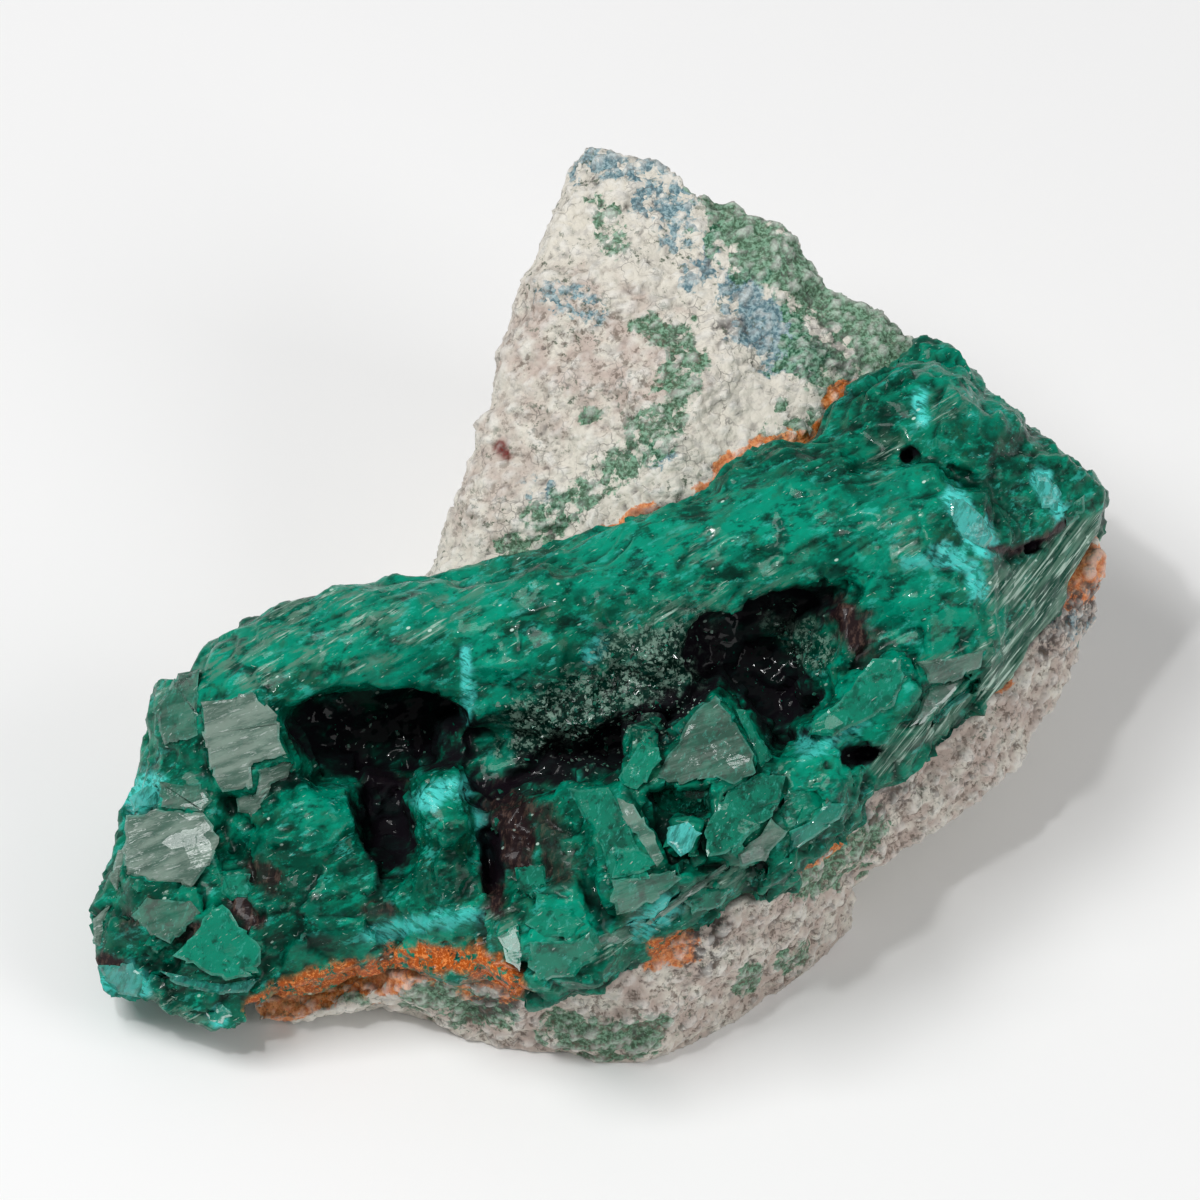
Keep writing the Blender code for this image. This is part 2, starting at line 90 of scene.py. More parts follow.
class Mask(Enum):
    """Masks that come from the shape itself; those for crevices, crests, shade, hollows and crystal edges
    lay painted shade and painted highlights.
    """

    CREVICE = "crevice"
    CREST = "crest"
    SHADE = "shade"
    # painted shade in the hollows and clefts
    HOLLOW_SHADE = "hollow_shade"
    BACK = "back"
    EDGE = "crystal_edge"


@dataclass(frozen=True)
class FaceFrame:
    """The frame of the broken face, which leans back from the viewer."""

    lean: float = math.radians(50)
    base_middle: Place = (-0.0513, -11.8764, 0.0)

    def axes(self) -> Matrix:
        """The directions of U, V and W as the columns of a matrix."""
        rise, run = math.sin(self.lean), math.cos(self.lean)
        return Matrix(((1, 0, 0), (0, rise, -run), (0, run, rise)))

    def direction(self, u: float, v: float, w: float) -> Vector:
        """A direction or a step in millimetres, without its place."""
        return self.axes() @ Vector((u, v, w))

    def place(self, u: float, v: float, w: float) -> Vector:
        """A point of the face's frame, in metres in the specimen's own frame."""
        return (self.direction(u, v, w) - Vector(self.base_middle)) * MM

    def coordinates(self, points: np.ndarray) -> np.ndarray:
        """U, V and W in millimetres of points given in metres, one row each."""
        return (points / MM + np.array(self.base_middle)) @ np.array(self.axes())


FACE = FaceFrame()


@dataclass(frozen=True)
class Patch:
    """A stroke or spot of one tint on the broken face."""

    tint: Tint
    path: tuple[Spot, ...]
    width: float
    strength: float = 1.0
    border: Span = (1.2, 0.5)
    fraying: float = 0.55

    def cover(self, uv: np.ndarray, raggedness: np.ndarray) -> np.ndarray:
        """How strongly the patch covers each point.

        Args:
            uv: the points' U and V, one row each.
            raggedness: noise from -1 to 1 at each point, which frays the patch's edge.

        Returns:
            A value from 0 to the patch's strength for each point.
        """
        ends = list(zip(self.path, self.path[1:])) or [(self.path[0], self.path[0])]
        distance = np.full(len(uv), np.inf)
        for start, end in ends:
            start, step = np.array(start), np.subtract(end, start)
            length = max(float(step @ step), TINY)
            along = np.clip((uv - start) @ step / length, 0, 1)
            distance = np.minimum(distance, np.linalg.norm(uv - start - along[:, None] * step, axis=1))
        ragged = distance / self.width + self.fraying * raggedness
        return self.strength * smooth_step(*self.border, ragged)


def smooth_step(low: float, high: float, value: np.ndarray) -> np.ndarray:
    """A soft step from 0 at low to 1 at high, where low may be above high."""
    share = np.clip((value - low) / (high - low), 0, 1)
    return share * share * (3 - 2 * share)


def inside(outline: tuple[Spot, ...], spots: np.ndarray) -> np.ndarray:
    """Find which spots lie inside an outline.

    Args:
        outline: the corners.
        spots: the spots, one row each.

    Returns:
        True or False for each spot.
    """
    u, v = spots.T
    within = np.zeros(len(spots), dtype=bool)
    for (u0, v0), (u1, v1) in zip(outline, outline[1:] + outline[:1]):
        crosses = (v0 > v) != (v1 > v)
        within ^= crosses & (u < (u1 - u0) * (v - v0) / ((v1 - v0) or TINY) + u0)
    return within


def noise_at(points: np.ndarray, size: float | Place, octaves: int = 2, seed: float = 0.0) -> np.ndarray:
    """Fractal noise from about -1 to 1.

    Args:
        points: places in millimetres, one row each.
        size: size of the noise's blobs, or one size for each axis.
        octaves: how many finer layers are added.
        seed: moves the noise to another part of its pattern.

    Returns:
        One value for each point.
    """
    scaled = points / np.broadcast_to(size, 3) + seed
    return np.array([noise.fractal(Vector(row), FADE, FINER, octaves) for row in scaled])


def cells_at(points: np.ndarray, size: float) -> tuple[np.ndarray, np.ndarray, np.ndarray]:
    """The random cells of a given size that points lie in.

    Args:
        points: places in millimetres, one row each.
        size: usual distance between cells' middles.

    Returns:
        Each point's distance to its cell's edge and its offset from the cell's middle, both in cell
        sizes, and a random direction that belongs to the cell.
    """
    edge, offset, lean = [], [], []
    for row in points / size:
        distances, middles = noise.voronoi(Vector(row))
        edge.append(distances[1] - distances[0])
        offset.append(Vector(row) - middles[0])
        lean.append(noise.cell_vector(middles[0] * LEAN_SEED) * 2 - Vector((1, 1, 1)))
    return np.array(edge), np.array(offset), np.array(lean)


def along_flow(places: np.ndarray, slant: float) -> np.ndarray:
    """The places turned so that their first axis runs with slanting threads.

    Args:
        places: places in the face's frame, one row each.
        slant: the threads' rise to the right, in degrees.

    Returns:
        The turned places.
    """
    angle = math.radians(slant)
    along = places[:, 0] * math.cos(angle) + places[:, 1] * math.sin(angle)
    across = places[:, 1] * math.cos(angle) - places[:, 0] * math.sin(angle)
    return np.column_stack((along, across, places[:, 2]))


def shape_of(item: bpy.types.Object) -> bmesh.types.BMesh:
    """A fresh copy of an object's mesh.

    Args:
        item: the object.

    Returns:
        The copy.
    """
    shape = bmesh.new()
    shape.from_mesh(item.data)
    return shape


def as_object(name: str, shape: bmesh.types.BMesh) -> bpy.types.Object:
    """Put a shape into the scene as an object, and free it.

    Args:
        name: the object's name.
        shape: the shape, which is used up.

    Returns:
        The object.
    """
    mesh = bpy.data.meshes.new(name)
    shape.to_mesh(mesh)
    shape.free()
    item = bpy.data.objects.new(name, mesh)
    bpy.context.scene.collection.objects.link(item)
    return item


def add_shape(whole: bmesh.types.BMesh, part: bmesh.types.BMesh) -> None:
    """Move everything in one shape into another.

    Args:
        whole: the shape that takes it in.
        part: the shape that is used up.
    """
    mesh = bpy.data.meshes.new("moving")
    part.to_mesh(mesh)
    part.free()
    whole.from_mesh(mesh)
    bpy.data.meshes.remove(mesh)


def regrained(shape: bmesh.types.BMesh, grain: float, smoothing: int) -> bmesh.types.BMesh:
    """The shape's skin in even facets.

    Args:
        shape: the shape, which is used up.
        grain: the facets' size in millimetres.
        smoothing: how often its corners are softened.

    Returns:
        The new shape.
    """
    item = as_object("regraining", shape)
    remesh = item.modifiers.new("Regrain", "REMESH")
    remesh.mode = "VOXEL"
    remesh.voxel_size = grain * MM
    if smoothing:
        soften = item.modifiers.new("Soften", "SMOOTH")
        soften.iterations = smoothing
    result = bmesh.new()
    result.from_object(item, bpy.context.evaluated_depsgraph_get())
    mesh = item.data
    bpy.data.objects.remove(item)
    bpy.data.meshes.remove(mesh)
    return result


@dataclass
class Skin:
    """A piece's surface while it is worked on, its vertices as arrays in the face's frame."""

    item: bpy.types.Object
    frays: float = 11.3
    ray_lift: float = 0.15
    ray_lean: float = 1.02

    def __post_init__(self) -> None:
        """Read the vertices' places and normals."""
        mesh = self.item.data
        flat = np.zeros(len(mesh.vertices) * 3)
        mesh.vertices.foreach_get("co", flat)
        self.metres = flat.reshape(-1, 3)
        self.places = FACE.coordinates(self.metres)
        directions = np.zeros(len(mesh.vertices) * 3)
        mesh.vertices.foreach_get("normal", directions)
        self.directions = directions.reshape(-1, 3)
        self.normals = self.directions @ np.array(FACE.axes())

    def push(self, distance: np.ndarray) -> None:
        """Move each vertex along its normal, and keep it above the ground.

        Args:
            distance: how far, in millimetres, for each vertex.
        """
        moved = self.metres + self.directions * distance[:, None] * MM
        moved[:, 2] = np.maximum(moved[:, 2], 0.0)
        self.item.data.vertices.foreach_set("co", moved.ravel())
        self.item.data.update()
        self.__post_init__()

    def bulge(self, spread: int) -> np.ndarray:
        """How far each vertex stands out of its neighbourhood, in millimetres.

        Args:
            spread: how many steps along the edges the neighbourhood reaches.

        Returns:
            Above 0 on crests and below 0 in creases.
        """
        edges = np.zeros(len(self.item.data.edges) * 2, dtype=np.int64)
        self.item.data.edges.foreach_get("vertices", edges)
        first, second = edges.reshape(-1, 2).T
        count = np.bincount(edges, minlength=len(self.places)) + 1.0
        smooth = self.places.copy()
        for _ in range(spread):
            total = smooth.copy()
            for axis in range(3):
                total[:, axis] += np.bincount(first, smooth[second, axis], len(smooth))
                total[:, axis] += np.bincount(second, smooth[first, axis], len(smooth))
            smooth = total / count[:, None]
        return np.einsum("ij,ij->i", self.places - smooth, self.normals)

    def write(self, mask: Enum, values: np.ndarray) -> None:
        """Store one value from 0 to 1 for each vertex, for the finishes to read."""
        attribute = self.item.data.attributes.new(mask.value, "FLOAT", "POINT")
        attribute.data.foreach_set("value", np.clip(values, 0, 1).astype(np.float32))

    def cover(self, tint: Tint, patches: Iterable[Patch], ragged_size: float) -> np.ndarray:
        """How strongly the patches of one tint cover each vertex.

        Args:
            tint: the tint.
            patches: patches of all tints.
            ragged_size: size in millimetres of the frays at the patches' edges.

        Returns:
            A value from 0 to 1 for each vertex.
        """
        raggedness = noise_at(self.places, ragged_size, 2, self.frays)
        cover = np.zeros(len(self.places))
        for patch in patches:
            if patch.tint is tint:
                cover = np.maximum(cover, patch.cover(self.places[:, :2], raggedness))
        return cover

    def openness(self, walls: BVHTree, reach: float, rays: int, seed: int) -> np.ndarray:
        """How much of the sky each vertex sees.

        Args:
            walls: the surfaces that may stand in the way.
            reach: how far in millimetres a wall still counts.
            rays: rays cast from each vertex.
            seed: seed of the rays' directions.

        Returns:
            1 for an open place down to 0 for a closed one.
        """
        chance = random.Random(seed)
        fan = [Vector(chance.gauss(0, 1) for _ in range(3)).normalized() for _ in range(rays)]
        seen = np.zeros(len(self.metres))
        for index, (point, normal) in enumerate(zip(self.metres, self.directions)):
            out = Vector(normal)
            start = Vector(point) + out * self.ray_lift * MM
            free = 0
            for ray in fan:
                direction = (ray + out * self.ray_lean).normalized()
                if walls.ray_cast(start, direction, reach * MM)[0] is None:
                    free += 1
            seen[index] = free / rays
        return seen


@dataclass(frozen=True)
class Stencil:
    """A soft-edged pattern of noise, 0 below low and its full share above high, or turned round."""

    size: float
    low: float
    high: float
    detail: float = 3.0
    rough: float = 0.55
    stretch: float = 0.0
    slant: float = FLOW_SLANT
    share: float = 1.0


@dataclass(frozen=True)
class Ripple:
    """Fine bumps of noise, their size and depth in millimetres."""

    size: float
    depth: float
    strength: float
    detail: float = 1.0
    stretch: float = 0.0
    slant: float = FLOW_SLANT


class NodeBench:
    """Lays out one material's nodes. Lengths are in millimetres, along U, V and W."""

    least_thickness: float = 1.6
    thickness_share: float = 0.4

    def __init__(self, name: str) -> None:
        """Start a material with its shader and a position in the face's frame.

        Args:
            name: the material's name.
        """
        self.material = bpy.data.materials.new(name)
        self.material.use_nodes = True
        self.tree = self.material.node_tree
        self.shader = self.tree.nodes["Principled BSDF"]
        self.output = self.tree.nodes["Material Output"]
        turned = self.node("ShaderNodeMapping", vector_type="POINT")
        self.plug(turned.inputs["Vector"], self.node("ShaderNodeTexCoord").outputs["Object"])
        turned.inputs["Rotation"].default_value = (FACE.lean - math.pi / 2, 0, 0)
        turned.inputs["Scale"].default_value = (1 / MM,) * 3
        self.position = turned.outputs["Vector"]

    def node(self, kind: str, **settings: object) -> bpy.types.Node:
        """Add a node and set its properties.

        Args:
            kind: the node's type.
            **settings: its properties and their values.

        Returns:
            The node.
        """
        made = self.tree.nodes.new(kind)
        for key, value in settings.items():
            setattr(made, key, value)
        return made

    def plug(self, socket: bpy.types.NodeSocket, value: object) -> None:
        """Link an output to an input, or set the input's value.

        Args:
            socket: the input.
            value: the output, number or colour that it gets.
        """
        if isinstance(value, bpy.types.NodeSocket):
            self.tree.links.new(value, socket)
        elif isinstance(value, tuple) and len(value) == 3 and socket.type == "RGBA":
            socket.default_value = (*value, 1.0)
        else:
            socket.default_value = value

    def vector(self, operation: str, *values: object) -> bpy.types.NodeSocket:
        """The result of a vector operation.

        Args:
            operation: the operation.
            *values: what it works on.

        Returns:
            The result.
        """
        made = self.node("ShaderNodeVectorMath", operation=operation)
        for socket, value in zip(made.inputs, values):
            self.plug(socket, value)
        return made.outputs["Vector"]

    def maths(self, operation: str, *values: object) -> bpy.types.NodeSocket:
        """The result of an operation on numbers, kept from 0 to 1.

        Args:
            operation: the operation.
            *values: what it works on.

        Returns:
            The result.
        """
        made = self.node("ShaderNodeMath", operation=operation, use_clamp=True)
        for socket, value in zip(made.inputs, values):
            self.plug(socket, value)
        return made.outputs["Value"]

    def times(self, *values: object) -> bpy.types.NodeSocket:
        """The product of one or more values.

        Args:
            *values: the values.

        Returns:
            Their product.
        """
        product = values[0]
        for value in values[1:]:
            product = self.maths("MULTIPLY", product, value)
        return product

    def mask(self, mask: Enum) -> bpy.types.NodeSocket:
        """A mask stored on the mesh."""
        return self.node("ShaderNodeAttribute", attribute_name=mask.value).outputs["Fac"]

    def noise(self, size: float, detail: float = 3.0, where: object = None,
              rough: float = 0.55) -> bpy.types.NodeSocket:
        """Noise from 0 to 1.

        Args:
            size: size of its blobs.
            detail: how many finer layers are added.
            where: the position, when not the mesh's own.
            rough: how strong the finer layers are.

        Returns:
            The noise.
        """
        made = self.node("ShaderNodeTexNoise")
        self.plug(made.inputs["Vector"], where or self.position)
        made.inputs["Scale"].default_value = 1 / size
        made.inputs["Detail"].default_value = detail
        made.inputs["Roughness"].default_value = rough
        return made.outputs["Fac"]

    def cells(self, size: float, feature: str = "F1", output: str = "Distance",
              where: object = None) -> bpy.types.NodeSocket:
        """Random cells.

        Args:
            size: their size.
            feature: what is measured.
            output: which output is given.
            where: the position, when not the mesh's own.

        Returns:
            The output.
        """
        made = self.node("ShaderNodeTexVoronoi", feature=feature)
        self.plug(made.inputs["Vector"], where or self.position)
        made.inputs["Scale"].default_value = 1 / size
        return made.outputs[output]

    def warped(self, size: float, reach: float) -> bpy.types.NodeSocket:
        """The position, pushed about by noise.

        Args:
            size: size of the noise's blobs.
            reach: how far it pushes.

        Returns:
            The new position.
        """
        made = self.node("ShaderNodeTexNoise")
        self.plug(made.inputs["Vector"], self.position)
        made.inputs["Scale"].default_value = 1 / size
        made.inputs["Detail"].default_value = 1.0
        shift = self.vector("SUBTRACT", made.outputs["Color"], MIDDLE)
        return self.vector("ADD", self.position, self.vector("MULTIPLY", shift, (2 * reach,) * 3))

    def threads(self, length: float, slant: float = FLOW_SLANT) -> bpy.types.NodeSocket:
        """A position that draws patterns out into threads.

        Args:
            length: how many times their width the patterns reach.
            slant: their rise to the right, in degrees.

        Returns:
            The new position.
        """
        made = self.node("ShaderNodeMapping", vector_type="TEXTURE")
        self.plug(made.inputs["Vector"], self.position)
        made.inputs["Rotation"].default_value = (0, 0, math.radians(slant))
        thickness = max(self.least_thickness, self.thickness_share * length)
        made.inputs["Scale"].default_value = (length, 1.0, thickness)
        return made.outputs["Vector"]

    def ramp(self, value: bpy.types.NodeSocket, low: float, high: float) -> bpy.types.NodeSocket:
        """A soft step of a value.

        Args:
            value: the value.
            low: where the step is 0.
            high: where it is 1, above or below low.

        Returns:
            The step, from 0 to 1.
        """
        made = self.node("ShaderNodeMapRange", interpolation_type="SMOOTHSTEP")
        self.plug(made.inputs["Value"], value)
        made.inputs["From Min"].default_value = min(low, high)
        made.inputs["From Max"].default_value = max(low, high)
        made.inputs["To Min"].default_value = float(low > high)
        made.inputs["To Max"].default_value = float(low <= high)
        return made.outputs["Result"]

    def over(self, below: object, above: object, *shares: object) -> bpy.types.NodeSocket:
        """Lay one colour over another.

        Args:
            below: the colour below.
            above: the colour above.
            *shares: from 0 to 1, and the product of them says how much of the colour above shows.

        Returns:
            The mixed colour.
        """
        made = self.node("ShaderNodeMix", data_type="RGBA")
        self.plug(made.inputs["Factor"], self.times(*shares))
        self.plug(made.inputs[6], below)
        self.plug(made.inputs[7], above)
        return made.outputs[2]

    def drawn(self, pattern: Stencil | Ripple) -> object:
        """The position of a pattern that is drawn out into threads, or nothing if it isn't."""
        return self.threads(pattern.stretch, pattern.slant) if pattern.stretch else None

    def stencil(self, pattern: Stencil) -> bpy.types.NodeSocket:
        """A stencil's cover.

        Args:
            pattern: the stencil.

        Returns:
            A value from 0 to the stencil's share.
        """
        cloud = self.noise(pattern.size, pattern.detail, self.drawn(pattern), pattern.rough)
        cover = self.ramp(cloud, pattern.low, pattern.high)
        return cover if pattern.share == 1.0 else self.times(cover, pattern.share)

    def rippled(self, pattern: Ripple, below: object = None) -> bpy.types.NodeSocket:
        """A normal with a ripple's bumps, over another normal if given."""
        height = self.noise(pattern.size, pattern.detail, self.drawn(pattern))
        return self.relief(height, pattern.depth, pattern.strength, below)

    def relief(self, height: bpy.types.NodeSocket, depth: float, strength: float,
               below: object = None) -> bpy.types.NodeSocket:
        """A bumpy normal.

        Args:
            height: the bumps' height from 0 to 1.
            depth: what a height of 1 is in millimetres.
            strength: how strongly the bumps show.
            below: another normal that they lie on.

        Returns:
            The normal.
        """
        made = self.node("ShaderNodeBump")
        made.inputs["Strength"].default_value = strength
        made.inputs["Distance"].default_value = depth * MM
        self.plug(made.inputs["Height"], height)
        if below is not None:
            self.plug(made.inputs["Normal"], below)
        return made.outputs["Normal"]

    def glitter(self, size: float, tilt: float, below: bpy.types.NodeSocket,
                where: object = None) -> bpy.types.NodeSocket:
        """A normal that tilts each random cell its own way, so that some of them catch the light.

        Args:
            size: the cells' size in millimetres.
            tilt: how strongly they tilt, as a share of the normal.
            below: the normal that is tilted.
            where: the position, when not the mesh's own.

        Returns:
            The tilted normal.
        """
        lean = self.vector("SUBTRACT", self.cells(size, output="Color", where=where), MIDDLE)
        leaning = self.vector("ADD", below, self.vector("MULTIPLY", lean, (tilt, tilt, tilt)))
        return self.vector("NORMALIZE", leaning)

    def finish(self, colour: object, roughness: object, normal: object = None) -> bpy.types.Material:
        """Plug the shader's colour, roughness and normal.

        Args:
            colour: the colour.
            roughness: the roughness.
            normal: the normal, if it has bumps.

        Returns:
            The material.
        """
        self.plug(self.shader.inputs["Base Color"], colour)
        self.plug(self.shader.inputs["Roughness"], roughness)
        if normal is not None:
            self.plug(self.shader.inputs["Normal"], normal)
        return self.material


@dataclass(frozen=True)
class RockFinish:
    """Sugary white rock with stains, painted highlight on its crests and painted shade in its crevices and
    next to the crust.
    """

    cream: Colour = (0.75, 0.71, 0.62)
    ash: Colour = (0.50, 0.48, 0.44)
    pink: Colour = (0.50, 0.385, 0.335)
    # colour of the dark cracks between grains and of the painted shade in crevices
    crack_and_crevice_shade: Colour = (0.10, 0.09, 0.085)
    dusk: Colour = (0.13, 0.095, 0.070)
    moss: Colour = (0.045, 0.085, 0.045)
    green: Colour = (0.006, 0.085, 0.028)
    pale_green: Colour = (0.19, 0.40, 0.26)
    blue: Colour = (0.035, 0.14, 0.19)
    pale_blue: Colour = (0.30, 0.46, 0.50)
    orange: Colour = (0.66, 0.15, 0.015)
    ochre: Colour = (0.88, 0.34, 0.11)
    rust: Colour = (0.17, 0.012, 0.006)
    soot: Colour = (0.025, 0.02, 0.024)
    # colour of the painted highlight on the crests of the grains
    sugar: Colour = (0.90, 0.89, 0.85)
    shade: Colour = (0.03, 0.026, 0.026)
    roughness: float = 0.55
    gloss: float = 0.30
    warp_size: float = 0.5
    warp_reach: float = 0.22
    grain_size: float = 0.62
    grain_depth: float = 0.20
    grain_strength: float = 0.8
    grain_span: Span = (0.35, 0.75)
    grain_greyness: float = 0.12
    crack_spacing: float = 0.75
    crack_span: Span = (0.07, 0.01)
    clump_size: float = 0.7
    clump_grains: float = 0.30
    clump_span: Span = (0.34, 0.66)
    clump_share: float = 0.5
    cover_gain: float = 0.62
    cover_span: Span = (0.04, 0.30)
    grown_span: Span = (0.40, 0.62)
    stain_share: float = 0.92
    blue_ease: float = 0.09
    green_ease: float = 0.05
    orange_ease: float = 0.05
    # how strongly the crests get painted highlight
    crest_highlight_share: float = 0.4
    shade_share: float = 0.7
    speckles: Stencil = Stencil(0.26, 0.42, 0.60, 4.0, 0.7)
    greyness: Stencil = Stencil(0.9, 0.50, 0.64, 5.0, 0.70, share=0.7)
    pinkness: Stencil = Stencil(1.6, 0.34, 0.60, 4.0, share=0.9)
    wild_green: Stencil = Stencil(2.6, 0.60, 0.70, 5.0, share=0.6)
    sootiness: Stencil = Stencil(0.6, 0.40, 0.56, 4.0, 0.7)
    cracking: Stencil = Stencil(2.1, 0.50, 0.64, 4.0, share=0.6)
    moss_specks: Stencil = Stencil(0.5, 0.55, 0.62, 5.0, 0.72, share=0.85)
    moss_fields: Stencil = Stencil(3.5, 0.40, 0.62)
    duskiness: Stencil = Stencil(0.6, 0.52, 0.60, 5.0, 0.74, share=0.85)
    # breaks up the painted shade in crevices
    crevice_shade_breakup: Stencil = Stencil(1.5, 0.44, 0.62, 4.0, share=0.8)
    fine: Ripple = Ripple(0.16, 0.06, 0.5)

    def material(self) -> bpy.types.Material:
        """The rock's material.

        Returns:
            The material.
        """
        bench = NodeBench("sugary_rock")
        warped = bench.warped(self.warp_size, self.warp_reach)
        grain = bench.cells(self.grain_size, output="Color", where=warped)
        colour = bench.over(self.cream, self.ash, bench.stencil(self.greyness))
        colour = bench.over(colour, self.ash, bench.ramp(grain, *self.grain_span), self.grain_greyness)
        pink = bench.mask(Tint.PINK)
        colour = bench.over(colour, self.pink, pink, bench.stencil(self.pinkness))
        colour = self.stained(bench, colour, grain)
        cracks = bench.ramp(bench.cells(self.crack_spacing, "DISTANCE_TO_EDGE", where=warped),
                            *self.crack_span)
        colour = bench.over(colour, self.crack_and_crevice_shade, cracks, bench.stencil(self.cracking))
        colour = bench.over(colour, self.moss, bench.stencil(self.moss_specks),
                            bench.stencil(self.moss_fields))
        colour = bench.over(colour, self.dusk, pink, bench.stencil(self.duskiness))
        # painted shade: darker in the crevices of the rock's surface
        colour = bench.over(colour, self.crack_and_crevice_shade, bench.mask(Mask.CREVICE), bench.stencil(self.crevice_shade_breakup))
        # painted highlight: lighter on the crests of the rock's surface
        colour = bench.over(colour, self.sugar, bench.mask(Mask.CREST), self.crest_highlight_share)
        colour = bench.over(colour, self.shade, bench.mask(Mask.SHADE), self.shade_share)
        rounded = bench.maths("SUBTRACT", 1.0, bench.cells(self.grain_size, where=warped))
        normal = bench.relief(rounded, self.grain_depth, self.grain_strength, bench.rippled(self.fine))
        bench.shader.inputs["Specular IOR Level"].default_value = self.gloss
        return bench.finish(colour, self.roughness, normal)

    def stained(self, bench: NodeBench, colour: object, grain: bpy.types.NodeSocket) -> object:
        """Lay the stains over the rock's colour.

        Args:
            bench: the material's bench.
            colour: the colour so far.
            grain: a random value for each grain, so that a stain takes whole grains.

        Returns:
            The stained colour.
        """
        wild = bench.times(bench.stencil(self.wild_green), bench.mask(Mask.BACK))
        green = bench.maths("MAXIMUM", bench.mask(Tint.GREEN), wild)
        blobs = bench.times(bench.noise(self.clump_size, 5.0, rough=0.7), 1 - self.clump_grains)
        clumps = bench.maths("MULTIPLY_ADD", grain, self.clump_grains, blobs)
        clumps = bench.times(bench.ramp(clumps, *self.clump_span), self.clump_share)
        speckle = bench.stencil(self.speckles)
        for cover, deep, pale, ease in (
            (bench.mask(Tint.BLUE), self.blue, self.pale_blue, self.blue_ease),
            (green, self.green, self.pale_green, self.green_ease),
            (bench.mask(Tint.SEAM), self.orange, self.ochre, 0.0),
            (bench.mask(Tint.ORANGE), self.orange, self.ochre, self.orange_ease),
        ):
            grown = bench.maths("MULTIPLY_ADD", cover, self.cover_gain, clumps)
            grown = bench.ramp(bench.maths("SUBTRACT", grown, ease), *self.grown_span)
            colour = bench.over(colour, bench.over(deep, pale, speckle), grown,
                                bench.ramp(cover, *self.cover_span), self.stain_share)
        colour = bench.over(colour, self.rust, bench.mask(Tint.RUST))
        return bench.over(colour, self.soot, bench.mask(Tint.SOOT), bench.stencil(self.sootiness))


